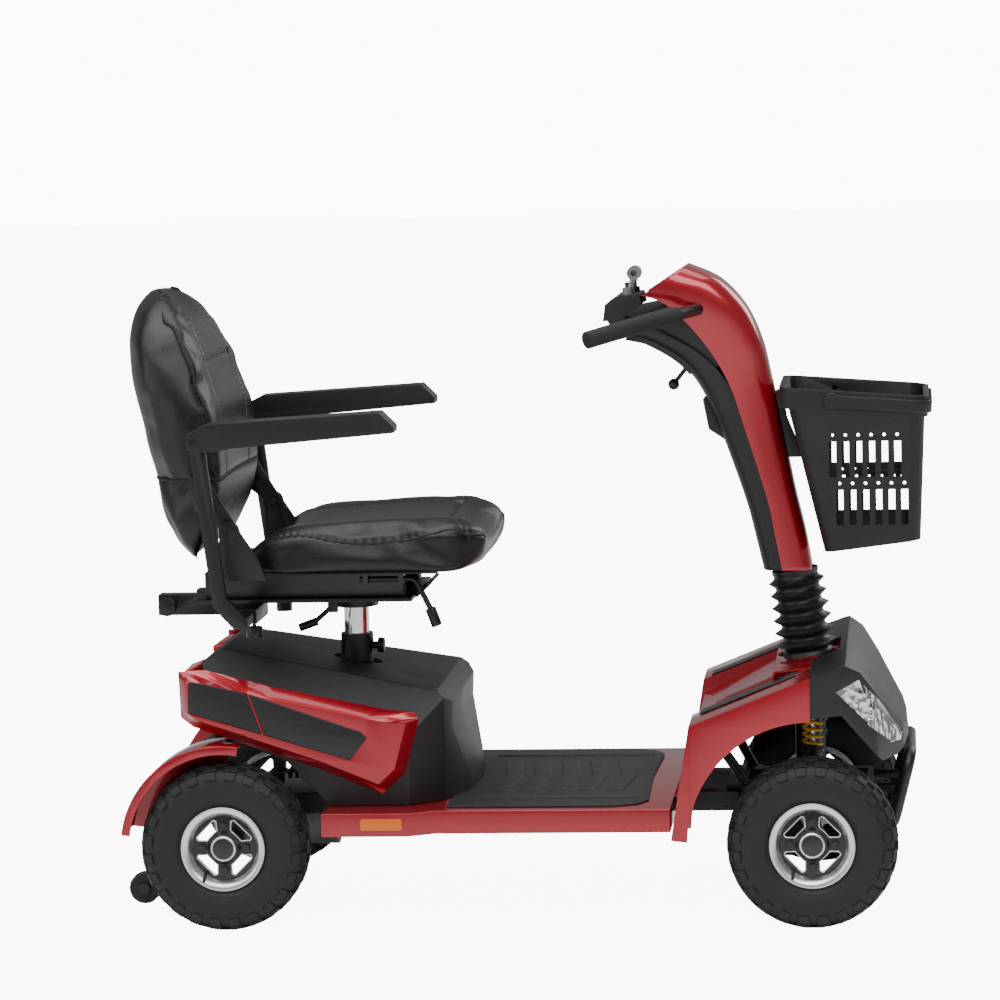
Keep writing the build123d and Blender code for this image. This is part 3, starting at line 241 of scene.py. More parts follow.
swing = maths(aged_tone, "MULTIPLY", swing, entry.outputs["Patchiness"])
tone = aged_tone.nodes.new("ShaderNodeHueSaturation")
aged_tone.links.new(entry.outputs["Colour"], tone.inputs["Color"])
aged_tone.links.new(maths(aged_tone, "ADD", swing, 1.0), tone.inputs["Value"])
low_down = aged_tone.nodes.new("ShaderNodeMapRange")
low_down.inputs["From Min"].default_value = 0.30
low_down.inputs["From Max"].default_value = 0.0
aged_tone.links.new(height.outputs["Z"], low_down.inputs["Value"])
dust_mask = maths(aged_tone, "MULTIPLY", low_down.outputs["Result"], specks.outputs["Fac"])
dust_mask = maths(aged_tone, "MULTIPLY", dust_mask, entry.outputs["Dust"])
aged_tone.links.new(
    mixed_colour(aged_tone, dust_mask, tone.outputs["Color"], (0.20, 0.185, 0.165)), end.inputs["Colour"]
)
rough = maths(aged_tone, "ADD", entry.outputs["Roughness"], maths(aged_tone, "MULTIPLY", swing, 0.8))
rough = maths(aged_tone, "ADD", rough, maths(aged_tone, "MULTIPLY", dust_mask, 0.5))
aged_tone.links.new(rough, end.inputs["Roughness"])


def aged_finish(name, colour, roughness, metallic=0.0, patchiness=0.15, dust=0.2, grain=0.0, depth=0.0):
    """A finish that changes in tone, gathers dust low down and, if it has a grain, is embossed with it."""
    finish, parts, links, shader = plain_finish(name, colour, roughness, metallic)
    tone = parts.new("ShaderNodeGroup")
    tone.node_tree = aged_tone
    tone.inputs["Colour"].default_value = (*colour, 1)
    tone.inputs["Roughness"].default_value = roughness
    tone.inputs["Patchiness"].default_value = patchiness
    tone.inputs["Dust"].default_value = dust
    links.new(tone.outputs["Colour"], shader.inputs["Base Color"])
    links.new(tone.outputs["Roughness"], shader.inputs["Roughness"])
    if grain:
        emboss = parts.new("ShaderNodeGroup")
        emboss.node_tree = mould_grain
        emboss.inputs["Scale"].default_value = grain
        bump = parts.new("ShaderNodeBump")
        bump.inputs["Strength"].default_value = 0.6
        bump.inputs["Distance"].default_value = depth
        links.new(emboss.outputs["Height"], bump.inputs["Height"])
        links.new(bump.outputs["Normal"], shader.inputs["Normal"])
    return finish


def paint(node, finish):
    """Puts a finish on a CAD node."""
    materials = nodes[node].data.materials
    materials.clear()
    materials.append(finish)


powder_coat = aged_finish(
    "satin_black_powder_coat",
    (0.006, 0.006, 0.007),
    0.34,
    patchiness=0.2,
    dust=0.12,
    grain=1600,
    depth=0.0001,
)
for frame_node in (
    "chassis_frame",
    "front_bumper",
    "suspension_arm_left",
    "suspension_arm_right",
    "knuckle_left",
    "knuckle_right",
    "steering_stem",
    "tie_rods",
):
    paint(frame_node, powder_coat)

# ------------------------------------------------------------------ drive
# A cast transaxle with its motor, two sealed batteries and a finned controller, all under the cover.
cast_metal = aged_finish(
    "sand_cast_aluminium", (0.30, 0.30, 0.31), 0.55, metallic=1.0, grain=900, depth=0.0004
)
satin_black = aged_finish(
    "satin_black_moulding", (0.006, 0.006, 0.007), 0.38, dust=0.08, grain=1500, depth=0.00012
)
paint("transaxle", cast_metal)
paint("controller", cast_metal)
paint("batteries", satin_black)

# ------------------------------------------------------------------ tyres
# Four pneumatic block-tread tyres: a smooth casing with two rows of centre blocks
# and a lug on each shoulder, moulded in one with it.
REAR_AXLE_X = -0.4625
FRONT_AXLE_X = 0.4455
AXLE_Z = 0.131
WHEEL_Y = 0.257
PITCHES = 24
CROWN_BLOCK = (0.0215, 0.0150, 0.0075)
SHOULDER_BLOCK = (0.0200, 0.0150, 0.0080)
SIDE_LUG = (0.0160, 0.0130, 0.0060)

tyre_rubber = aged_finish(
    "tyre_rubber", (0.006, 0.006, 0.0065), 0.60, patchiness=0.35, dust=0.05, grain=1100, depth=0.00015
)
casing_side = [
    (0.0605, 0.0322),
    (0.0672, 0.0328),
    (0.0715, 0.0362),
    (0.0735, 0.0382),
    (0.0760, 0.0384),
    (0.0790, 0.0398),
    (0.0880, 0.0414),
    (0.0980, 0.0418),
    (0.1070, 0.0405),
    (0.1140, 0.0376),
    (0.1195, 0.0336),
    (0.1228, 0.0290),
    (0.1250, 0.0200),
    (0.1262, 0.0080),
]
casing = casing_side + [(r, -y) for r, y in reversed(casing_side)]
wheel_centre = (FRONT_AXLE_X, -WHEEL_Y, AXLE_Z)


def draw_outline(points, close=False):
    """Draws a wire through the points, corner by corner, and leaves it open in edit mode."""
    start_clean()
    bpy.ops.mesh.primitive_plane_add(size=0.01, location=(0, 0, 0))
    bpy.ops.object.mode_set(mode="EDIT")
    bpy.ops.mesh.merge(type="CENTER")
    bpy.ops.transform.translate(value=points[0])
    for before, after in zip(points, points[1:]):
        step = tuple(b - a for a, b in zip(before, after))
        bpy.ops.mesh.extrude_region_move(TRANSFORM_OT_translate={"value": step})
    if close:
        bpy.ops.mesh.select_all(action="SELECT")
        bpy.ops.mesh.edge_face_add()


def turned(name, outline, centre, steps, axis=(0, 1, 0), closed=True, smooth=35):
    """A turned piece: an outline of (radius, distance along the axis) spun once round the axis at centre."""
    along = Vector(axis).normalized()
    out = along.orthogonal().normalized()
    points = [tuple(Vector(centre) + out * r + along * h) for r, h in outline]
    if closed:
        points.append(points[0])
    draw_outline(points)
    bpy.ops.mesh.select_all(action="SELECT")
    bpy.ops.mesh.spin(steps=steps, angle=2 * pi, center=centre, axis=tuple(along))
    bpy.ops.mesh.select_all(action="SELECT")
    bpy.ops.mesh.remove_doubles(threshold=0.000005)
    bpy.ops.mesh.normals_make_consistent(inside=False)
    bpy.ops.object.mode_set(mode="OBJECT")
    piece = bpy.context.object
    piece.name = name
    bpy.ops.object.shade_smooth_by_angle(angle=radians(smooth))
    return piece


def join(name, pieces):
    """Welds several meshes into one named piece."""
    start_clean()
    for piece in pieces:
        piece.select_set(True)
    bpy.context.view_layer.objects.active = pieces[0]
    bpy.ops.object.join()
    whole = bpy.context.object
    whole.name = name
    return whole


def moved(piece, change):
    """Moves a piece's mesh by a matrix, so that its object stays at the origin."""
    piece.data.transform(change)
    if change.determinant() < 0:
        piece.data.flip_normals()
    return piece


tyre = turned("tyre_casing", casing, wheel_centre, 96)


def tread_block(size, radius, offset, lean, turn):
    """One rubber block stood on the casing: chamfered, leant over at the shoulder and turned to its place."""
    start_clean()
    bpy.ops.mesh.primitive_cube_add(size=1, location=(0, 0, 0))
    block = bpy.context.object
    bpy.ops.object.mode_set(mode="EDIT")
    bpy.ops.mesh.select_all(action="SELECT")
    bpy.ops.transform.resize(value=size)
    bpy.ops.mesh.bevel(offset=0.0009, segments=2, affect="EDGES")
    bpy.ops.object.mode_set(mode="OBJECT")
    spot = Matrix.Translation(wheel_centre) @ Matrix.Rotation(turn, 4, "Y")
    spot = spot @ Matrix.Translation((0, offset, radius)) @ Matrix.Rotation(lean, 4, "X")
    return moved(block, spot)


blocks = []
for n in range(PITCHES):
    here = 2 * pi * n / PITCHES
    half_pitch = pi / PITCHES
    blocks.append(tread_block(CROWN_BLOCK, 0.1268, 0.0090, 0, here))
    blocks.append(tread_block(CROWN_BLOCK, 0.1268, -0.0090, 0, here + half_pitch))
    for side in (-1, 1):
        turn = here + (0 if side < 0 else half_pitch)
        blocks.append(tread_block(SHOULDER_BLOCK, 0.1232, side * 0.0262, -side * 0.42, turn))
        blocks.append(tread_block(SIDE_LUG, 0.1148, side * 0.0368, -side * 1.05, turn))
tyre = join("tyre_front_right_tread", [tyre, *blocks])
tyre.data.materials.clear()
tyre.data.materials.append(tyre_rubber)

# ------------------------------------------------------------------ rims
# Two-piece alloy rims: a polished lip and barrel round a black four-window centre,
# held by four lug bolts, with a black centre cap and a rubber valve.


def take_up(piece):
    """Selects one piece alone and makes it the active one."""
    start_clean()
    piece.select_set(True)
    bpy.context.view_layer.objects.active = piece


def own_copy(piece, name):
    """A second piece with its own mesh."""
    twin = piece.copy()
    twin.data = piece.data.copy()
    twin.name = name
    bpy.context.collection.objects.link(twin)
    return twin


polished = aged_finish(
    "polished_aluminium", (0.90, 0.90, 0.91), 0.30, metallic=1.0, patchiness=0.25, dust=0.15
)
dark_zinc = aged_finish("black_zinc_bolts", (0.05, 0.05, 0.055), 0.35, metallic=0.8, dust=0.05)
centre_black = aged_finish("centre_black_lacquer", (0.014, 0.014, 0.015), 0.25, dust=0.25)
lip = turned(
    "rim_lip",
    [
        (0.0600, -0.0368),
        (0.0656, -0.0368),
        (0.0656, -0.0338),
        (0.0597, -0.0326),
        (0.0597, 0.0326),
        (0.0652, 0.0334),
        (0.0660, 0.0345),
        (0.0660, 0.0358),
        (0.0650, 0.0368),
        (0.0610, 0.0370),
        (0.0575, 0.0352),
        (0.0540, 0.0310),
        (0.0518, 0.0262),
        (0.0508, 0.0240),
        (0.0502, 0.0190),
        (0.0560, 0.0120),
        (0.0565, -0.0300),
    ],
    (0, 0, 0),
    96,
)
lip.data.materials.append(polished)
disc = turned(
    "rim_disc",
    [
        (0.0170, 0.0290),
        (0.0200, 0.0285),
        (0.0225, 0.0262),
        (0.0240, 0.0225),
        (0.0262, 0.0205),
        (0.0480, 0.0205),
        (0.0506, 0.0195),
        (0.0506, 0.0150),
        (0.0480, 0.0128),
        (0.0230, 0.0128),
        (0.0225, -0.0300),
        (0.0170, -0.0300),
    ],
    (0, 0, 0),
    96,
)
disc.data.materials.append(centre_black)
WINDOW_IN, WINDOW_OUT = 0.0275, 0.0458
WINDOW_TRIM = 0.0011
DISC_FACE = 0.0205
BOLT_CIRCLE = 0.0345
LUGS = 4
VALVE_AT = (0.030, 0.018, -0.0365)
VALVE_LEAN = -0.5


def window_outline(grow):
    """The rounded window between two spokes, round the +X direction, as (x, z) points."""
    spread_in, spread_out = 0.46, 0.50
    round_r = 0.0045
    corners = []
    for r, spread, way in (
        (WINDOW_IN, spread_in, -1),
        (WINDOW_OUT, spread_out, -1),
        (WINDOW_OUT, spread_out, 1),
        (WINDOW_IN, spread_in, 1),
    ):
        pull = round_r / r
        inward = 1 if r == WINDOW_IN else -1
        angle = way * (spread - pull)
        radius = r + inward * round_r
        corners.append((radius * cos(angle), radius * sin(angle)))
    outline = []
    for n, (cx, cz) in enumerate(corners):
        base = -0.5 if n < 2 else 0.5
        start = (pi, -pi / 2, 0, pi / 2)[n]
        for step in range(5):
            a = start + base + step * pi / 8
            outline.append((cx + (round_r + grow) * cos(a), cz + (round_r + grow) * sin(a)))
    return outline


rim_parts = [lip, disc]
window_rims = []
for n in range(4):
    turn = pi / 4 + n * pi / 2
    ring = [(x * cos(turn) - z * sin(turn), x * sin(turn) + z * cos(turn)) for x, z in window_outline(0)]
    draw_outline([(x, 0.0, z) for x, z in ring], close=True)
    bpy.ops.mesh.extrude_region_move(TRANSFORM_OT_translate={"value": (0, 0.06, 0)})
    bpy.ops.mesh.select_all(action="SELECT")
    bpy.ops.mesh.normals_make_consistent(inside=False)
    bpy.ops.object.mode_set(mode="OBJECT")
    cutter = bpy.context.object
    cut = disc.modifiers.new("window", "BOOLEAN")
    cut.object = cutter
    cut.operation = "DIFFERENCE"
    bpy.context.view_layer.objects.active = disc
    bpy.ops.object.modifier_apply(modifier=cut.name)
    bpy.data.objects.remove(cutter)
    path = bpy.data.curves.new("window_trim", "CURVE")
    path.dimensions = "3D"
    path.bevel_depth = WINDOW_TRIM
    path.bevel_resolution = 2
    line = path.splines.new("POLY")
    line.use_cyclic_u = True
    line.points.add(len(ring) - 1)
    for point, (x, z) in zip(line.points, ring):
        point.co = (x, DISC_FACE, z, 1)
    trim = bpy.data.objects.new("window_trim", path)
    bpy.context.collection.objects.link(trim)
    take_up(trim)
    bpy.ops.object.convert(target="MESH")
    trim = bpy.context.object
    trim.data.materials.append(polished)
    window_rims.append(trim)
take_up(disc)
bpy.ops.object.shade_smooth_by_angle(angle=radians(30))
rim_parts += window_rims

cap = turned(
    "rim_cap",
    [
        (0.0001, 0.0350),
        (0.0120, 0.0348),
        (0.0158, 0.0338),
        (0.0168, 0.0318),
        (0.0168, 0.0280),
        (0.0001, 0.0280),
    ],
    (0, 0, 0),
    48,
)
cap.data.materials.append(centre_black)
cap_ring = turned(
    "rim_cap_ring",
    [(0.0168, 0.0282), (0.0195, 0.0288), (0.0195, 0.0305), (0.0180, 0.0318), (0.0168, 0.0318)],
    (0, 0, 0),
    48,
)
cap_ring.data.materials.append(polished)
rim_parts += [cap, cap_ring]
for n in range(LUGS):
    start_clean()
    bpy.ops.mesh.primitive_cylinder_add(vertices=6, radius=0.0062, depth=0.006, location=(0, 0, 0))
    bolt = bpy.context.object
    bpy.ops.object.mode_set(mode="EDIT")
    bpy.ops.mesh.select_all(action="SELECT")
    bpy.ops.mesh.bevel(offset=0.0008, segments=2, affect="EDGES")
    bpy.ops.object.mode_set(mode="OBJECT")
    turn = n * 2 * pi / LUGS
    lug_x, lug_z = BOLT_CIRCLE * cos(turn), BOLT_CIRCLE * sin(turn)
    spot = Matrix.Translation((lug_x, DISC_FACE + 0.003, lug_z))
    moved(bolt, spot @ Matrix.Rotation(pi / 2, 4, "X"))
    bolt.data.materials.append(dark_zinc)
    washer = turned(
        "lug_washer",
        [(0.0001, 0.0205), (0.0080, 0.0205), (0.0080, 0.0212), (0.0001, 0.0215)],
        (lug_x, 0, lug_z),
        24,
    )
    washer.data.materials.append(dark_zinc)
    rim_parts += [bolt, washer]
rim = join("rim_master", rim_parts)

valve = turned(
    "valve",
    [(0.0001, 0.026), (0.0022, 0.026), (0.0026, 0.020), (0.0026, 0.0), (0.0001, 0.0)],
    (0, 0, 0),
    16,
)
valve.data.materials.append(tyre_rubber)
moved(valve, Matrix.Translation(VALVE_AT) @ Matrix.Rotation(VALVE_LEAN, 4, "X"))
rim = join("rim_master", [rim, valve])

for end_name, axle_x in (("front", FRONT_AXLE_X), ("rear", REAR_AXLE_X)):
    for side_name, side in (("left", 1), ("right", -1)):
        hub_at = Matrix.Translation((axle_x, side * WHEEL_Y, AXLE_Z))
        facing = Matrix.Rotation(0 if side > 0 else pi, 4, "Z")
        place_name = f"{end_name}_{side_name}"
        wheel_body = f"{end_name}_wheel_{side_name}"
        this_rim = moved(own_copy(rim, f"rim_{place_name}_alloy"), hub_at @ facing)
        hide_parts(f"rim_{place_name}")
        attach(this_rim, wheel_body)
        back = Matrix.Translation(-Vector(wheel_centre))
        this_tyre = moved(own_copy(tyre, f"tyre_{place_name}_tread"), hub_at @ facing @ back)
        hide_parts(f"tyre_{place_name}")
        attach(this_tyre, wheel_body)
bpy.data.objects.remove(rim)
bpy.data.objects.remove(tyre)


def crisp_copy(node, body, finish, width=0.0012, corner=28, segments=3):
    """A copy of a CAD node, in its place, with its triangles merged into faces and its edges rounded."""
    start_clean()
    piece = nodes[node].copy()
    piece.data = nodes[node].data.copy()
    piece.name = node + "_finished"
    piece.parent = None
    piece.matrix_world = Matrix.Identity(4)
    bpy.context.collection.objects.link(piece)
    piece.select_set(True)
    bpy.context.view_layer.objects.active = piece
    bpy.ops.object.mode_set(mode="EDIT")
    bpy.ops.mesh.select_all(action="SELECT")
    bpy.ops.mesh.remove_doubles(threshold=0.00001)
    bpy.ops.mesh.dissolve_limited(angle_limit=radians(0.6))
    bpy.ops.object.mode_set(mode="OBJECT")
    if width:
        rounding = piece.modifiers.new("rounding", "BEVEL")
        rounding.width = width
        rounding.segments = segments
        rounding.limit_method = "ANGLE"
        rounding.angle_limit = radians(corner)
        rounding.use_clamp_overlap = True
        bpy.ops.object.modifier_apply(modifier=rounding.name)
    bpy.ops.object.shade_smooth_by_angle(angle=radians(32))
    piece.data.materials.clear()
    piece.data.materials.append(finish)
    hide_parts(node)
    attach(piece, body)
    return piece


for side_name in ("left", "right"):
    crisp_copy(f"anti_tip_wheel_{side_name}", f"anti_tip_{side_name}", tyre_rubber)

# ------------------------------------------------------------------ deck
# A red deck tray with a black ribbed rubber mat laid in it and an amber reflector on each side.
candy_red = aged_finish(
    "candy_red_gloss", (0.40, 0.0004, 0.012), 0.30, metallic=0.55, patchiness=0.10, dust=0.12
)
candy_shader = candy_red.node_tree.nodes["Principled BSDF"]
candy_shader.inputs["Coat Weight"].default_value = 1.0
candy_shader.inputs["Coat Roughness"].default_value = 0.05
candy_shader.inputs["Specular IOR Level"].default_value = 0.6
crisp_copy("floor_pan", "chassis", candy_red, width=0.004, segments=4)
mat_rubber = aged_finish("ribbed_mat_rubber", (0.010, 0.010, 0.011), 0.55, dust=0.12, grain=900, depth=0.0002)
crisp_copy("foot_mat", "chassis", mat_rubber, width=0.0008)
amber = aged_finish("amber_reflector", (0.75, 0.16, 0.005), 0.15, dust=0.1)
crisp_copy("side_reflectors", "chassis", amber, width=0.0006)

# ------------------------------------------------------------------ rear body
# A grained black cover over the batteries, red side panels with grey inserts, red lamps and mudguards.
grained_black = aged_finish(
    "grained_charcoal_moulding", (0.008, 0.008, 0.0095), 0.42, dust=0.08, grain=700, depth=0.0003
)
crisp_copy("rear_cover", "chassis", grained_black, width=0.006, segments=4)
crisp_copy("side_panels", "chassis", candy_red, width=0.003, segments=4, corner=20)
woven_grey = aged_finish("woven_grey_insert", (0.010, 0.010, 0.011), 0.32, grain=500, depth=0.0003)
crisp_copy("side_inserts", "chassis", woven_grey)
red_lens = aged_finish("red_lamp_lens", (0.55, 0.008, 0.008), 0.12)
crisp_copy("tail_lights", "chassis", red_lens, width=0.004)
crisp_copy("rear_fenders", "chassis", candy_red, width=0.0015)

# ------------------------------------------------------------------ front body
# A red cowl over both wheels with a low spine between, and a grained black nose with two headlights.
crisp_copy("front_cowl", "chassis", candy_red, width=0.005, segments=4)
crisp_copy("cowl_strips", "chassis", woven_grey)
crisp_copy("nose_cover", "chassis", grained_black, width=0.005, segments=4)

# ------------------------------------------------------------------ headlights
# Two moulded clear lenses snapped into the nose. Behind each is a faceted, metallised bucket
# with a bowl and a blue-tinted bulb.
BUCKET_DEPTH = 0.011
BUCKET_SHARE = 0.98
BULB_UNDER, BOWL_UNDER = 0.018, 0.060
clear_lens, _, _, lens_shader = plain_finish("clear_lamp_lens", (0.97, 0.98, 1.0), 0.02)
lens_shader.inputs["Transmission Weight"].default_value = 1.0
lens_shader.inputs["IOR"].default_value = 1.3
bulb_blue, _, _, bulb_shader = plain_finish("blue_tinted_bulb", (0.25, 0.50, 0.72), 0.08)
bulb_shader.inputs["Coat Weight"].default_value = 1.0
faceted_chrome, facet_nodes, facet_links, facet_shader = plain_finish(
    "faceted_lamp_chrome", (0.88, 0.90, 0.93), 0.12, 1.0
)
facet_place = facet_nodes.new("ShaderNodeTexCoord")
facets = facet_nodes.new("ShaderNodeTexVoronoi")
facets.inputs["Scale"].default_value = 70
facet_bump = facet_nodes.new("ShaderNodeBump")
facet_bump.inputs["Distance"].default_value = 0.004
facet_links.new(facet_place.outputs["Object"], facets.inputs["Vector"])
facet_links.new(facets.outputs["Distance"], facet_bump.inputs["Height"])
facet_links.new(facet_bump.outputs["Normal"], facet_shader.inputs["Normal"])
lamps = crisp_copy("headlights", "chassis", clear_lens, width=0)
take_up(lamps)
bpy.ops.mesh.separate(type="LOOSE")
lamp_parts = list(bpy.context.selected_objects)
lamp_groups = {"lens": [], "bowl": [], "bulb": []}
for piece in lamp_parts:
    longest = max(piece.dimensions)
    lamp_groups["bulb" if longest < BULB_UNDER else "bowl" if longest < BOWL_UNDER else "lens"].append(piece)
for kind, finish in (("lens", clear_lens), ("bowl", faceted_chrome), ("bulb", bulb_blue)):
    for piece in lamp_groups[kind]:
        piece.data.materials.clear()
        piece.data.materials.append(finish)
buckets = []
for piece in lamp_groups["lens"]:
    bucket = own_copy(piece, "lamp_bucket")
    corners = [Vector(v.co) for v in bucket.data.vertices]
    middle = sum(corners, Vector()) / len(corners)
    inward = Vector((-0.75, -0.45 if middle.y > 0 else 0.45, -0.25)).normalized()
    shrink = Matrix.Scale(BUCKET_SHARE, 4) @ Matrix.Translation(-middle)
    moved(bucket, Matrix.Translation(middle + inward * BUCKET_DEPTH) @ shrink)
    bucket.data.materials.clear()
    bucket.data.materials.append(faceted_chrome)
    buckets.append(bucket)
for name, pieces in (
    ("headlight_lenses", lamp_groups["lens"]),
    ("headlight_bowls", lamp_groups["bowl"] + lamp_groups["bulb"]),
    ("headlight_buckets", buckets),
):
    if pieces:
        lamp_piece = join(name, pieces)
        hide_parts("headlights")
        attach(lamp_piece, "chassis")

# ------------------------------------------------------------------ springs and dampers
# Yellow coil springs over chromed damper rods.
spring_yellow = aged_finish("yellow_spring_lacquer", (0.85, 0.48, 0.02), 0.3)
for side_name, side in (("left", 1), ("right", -1)):
    spring = crisp_copy(f"spring_{side_name}", "chassis", spring_yellow, width=0)
    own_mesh(spring)
chrome = aged_finish("chrome_plate", (0.85, 0.85, 0.87), 0.07, metallic=1.0, patchiness=0.08, dust=0.05)
paint("shock_dampers", chrome)

# ------------------------------------------------------------------ steering boot
# A moulded rubber bellows over the rake joint: six soft folds between two plain collars.
# On the scooter its foot is held by the cowl's collar and its head by the tiller; here it is one fixed piece,
# attached to neither.
BOOT_LOW = Vector((0.4370, 0, 0.3820))
BOOT_HIGH = Vector((0.4180, 0, 0.5200))
FOLDS = 6
boot_rubber = aged_finish(
    "boot_rubber", (0.012, 0.012, 0.013), 0.38, patchiness=0.3, dust=0.2, grain=1300, depth=0.0001
)
boot_axis = BOOT_HIGH - BOOT_LOW
boot_length = boot_axis.length
fold_pitch = (boot_length - 0.020) / FOLDS
boot_outline = [(0.0390, 0.0), (0.0390, 0.008)]
for n in range(FOLDS):
    base = 0.010 + n * fold_pitch
    spread = 0.0475 - 0.0035 * n / FOLDS
    boot_outline += [
        (0.0345, base),
        (0.0360, base + 0.18 * fold_pitch),
        (spread - 0.003, base + 0.42 * fold_pitch),
        (spread, base + 0.55 * fold_pitch),
        (spread - 0.004, base + 0.66 * fold_pitch),
        (0.0360, base + 0.84 * fold_pitch),
    ]
boot_outline += [(0.0350, boot_length - 0.009), (0.0370, boot_length - 0.006), (0.0370, boot_length)]
boot_inside = [(r - 0.0022, h) for r, h in reversed(boot_outline)]
boot = turned(
    "steering_boot", boot_outline + boot_inside, tuple(BOOT_LOW), 72, axis=tuple(boot_axis), smooth=70
)
boot.data.materials.append(boot_rubber)
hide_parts("column_boot")
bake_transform(boot)

# ------------------------------------------------------------------ tiller covers
# Two thin mouldings screwed together along a seam: a glossy red front shell with a hood over the
# console, and a grained black shell towards the rider. Each is a hollow section that follows the mast.
FRONT_RUN = [
    (0.4475, 0.522),
    (0.4365, 0.585),
    (0.4225, 0.647),
    (0.4045, 0.742),
    (0.3875, 0.829),
    (0.3745, 0.885),
    (0.3495, 0.940),
    (0.3095, 0.983),
    (0.2590, 1.0065),
]
SEAM_RUN = [
    (0.3995, 0.522),
    (0.3885, 0.580),
    (0.3775, 0.637),
    (0.3445, 0.748),
    (0.3215, 0.819),
    (0.2895, 0.877),
    (0.2505, 0.925),
    (0.2190, 0.951),
    (0.1890, 0.9610),
]
DARK_EDGE = [
    (0.3992, 0.522),
    (0.3882, 0.580),
    (0.3772, 0.637),
    (0.3442, 0.748),
    (0.3212, 0.817),
    (0.2850, 0.862),
    (0.2380, 0.893),
    (0.1950, 0.913),
    (0.1520, 0.9215),
]
REAR_RUN = [
    (0.3695, 0.522),
    (0.3565, 0.580),
    (0.3435, 0.632),
    (0.3115, 0.727),
    (0.2825, 0.799),
    (0.2475, 0.849),
    (0.1995, 0.881),
    (0.1740, 0.889),
    (0.1500, 0.8935),
]
HALF_WIDTHS = [0.046, 0.046, 0.046, 0.046, 0.050, 0.060, 0.070, 0.074, 0.074]
STEPS_BETWEEN = 6
SHELL_WALL = 0.0032
LINER_WALL = 0.0015
HOOK_WIDTH = 0.034


def flowing(values, steps):
    """A smooth run through the values, which may be numbers or points."""
    values = [Vector(v) if isinstance(v, tuple) else v for v in values]
    run = []
    for n in range(len(values) - 1):
        before = values[max(n - 1, 0)]
        a, b = values[n], values[n + 1]
        after = values[min(n + 2, len(values) - 1)]
        for step in range(steps):
            t = step / steps
            run.append(
                0.5
                * (
                    2 * a
                    + (b - before) * t
                    + (2 * before - 5 * a + 4 * b - after) * t * t
                    + (3 * a - before - 3 * b + after) * t * t * t
                )
            )
    run.append(values[-1])
    return run


def skin(name, rows):
    """A grid laid out through rows of points, with its faces turned outwards."""
    start_clean()
    across, along = len(rows[0]) - 1, len(rows) - 1
    bpy.ops.mesh.primitive_grid_add(x_subdivisions=across, y_subdivisions=along, size=1, location=(0, 0, 0))
    piece = bpy.context.object
    piece.name = name
    points = [point for row in rows for point in row]
    for vertex, point in zip(piece.data.vertices, points):
        vertex.co = point
    bpy.ops.object.mode_set(mode="EDIT")
    bpy.ops.mesh.select_all(action="SELECT")
    bpy.ops.mesh.normals_make_consistent(inside=False)
    bpy.ops.object.mode_set(mode="OBJECT")
    return piece


def thicken(piece, wall, edge=0.0006, smooth=40, inward=-1):
    """Gives a surface its wall, rounds the wall's edges and shades it smooth."""
    take_up(piece)
    walls = piece.modifiers.new("wall", "SOLIDIFY")
    walls.thickness = wall
    walls.offset = inward
    bpy.ops.object.modifier_apply(modifier=walls.name)
    if edge:
        rounding = piece.modifiers.new("rounding", "BEVEL")
        rounding.width = edge
        rounding.segments = 2
        rounding.limit_method = "ANGLE"
        rounding.angle_limit = radians(50)
        bpy.ops.object.modifier_apply(modifier=rounding.name)
    bpy.ops.object.shade_smooth_by_angle(angle=radians(smooth))
    return piece


def hollow_section(edge, ridge, half_width, squareness, points=28):
    """A squarish arch from one side of the seam round the ridge to the other."""
    row = []
    for n in range(points + 1):
        angle = pi * n / points
        across = -half_width * (1 if cos(angle) >= 0 else -1) * abs(cos(angle)) ** (2 / squareness)
        out = abs(sin(angle)) ** (2 / squareness)
        x, z = edge + (ridge - edge) * out
        row.append((x, across, z))
    return row


fronts, seams = flowing(FRONT_RUN, STEPS_BETWEEN), flowing(SEAM_RUN, STEPS_BETWEEN)
darks, rears = flowing(DARK_EDGE, STEPS_BETWEEN), flowing(REAR_RUN, STEPS_BETWEEN)
widths = flowing(HALF_WIDTHS, STEPS_BETWEEN)
red_shell = skin("tiller_red_shell", [hollow_section(a, b, w, 4.2) for a, b, w in zip(seams, fronts, widths)])
thicken(red_shell, SHELL_WALL)
red_shell.data.materials.append(candy_red)
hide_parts("tiller_front_cover")
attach(red_shell, "tiller")
dark_shell = skin(
    "tiller_dark_shell", [hollow_section(a, b, w - 0.0004, 3.2) for a, b, w in zip(darks, rears, widths)]
)
thicken(dark_shell, SHELL_WALL)
dark_shell.data.materials.append(grained_black)
liner = skin(
    "tiller_liner",
    [hollow_section(b, a, w - 0.008, 3.4) for a, b, w in zip(fronts, rears, widths)][28:-3],
)
thicken(liner, LINER_WALL, edge=0)
liner.data.materials.append(satin_black)
for piece in (dark_shell, liner):
    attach(piece, "tiller")
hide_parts("tiller_rear_cover")

# The bag hook under the dark shell, a solid black moulding.
hook_outline = [(0.3135, 0.727), (0.2870, 0.745), (0.2780, 0.793), (0.2895, 0.801), (0.3115, 0.770)]
draw_outline([(x, -HOOK_WIDTH / 2, z) for x, z in hook_outline], close=True)
bpy.ops.mesh.extrude_region_move(TRANSFORM_OT_translate={"value": (0, HOOK_WIDTH, 0)})
bpy.ops.mesh.select_all(action="SELECT")
bpy.ops.mesh.normals_make_consistent(inside=False)
bpy.ops.mesh.bevel(offset=0.002, segments=3, affect="EDGES")
bpy.ops.object.mode_set(mode="OBJECT")
hook = bpy.context.object
hook.name = "bag_hook"
bpy.ops.object.shade_smooth_by_angle(angle=radians(40))
hook.data.materials.append(grained_black)
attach(hook, "tiller")

# ------------------------------------------------------------------ handlebar and console
paint("tiller_tubes", powder_coat)
GRIP_RADIUS = 0.0135
grip_foam = aged_finish("grip_foam", (0.012, 0.012, 0.013), 0.72, dust=0.05, grain=1800, depth=0.0003)


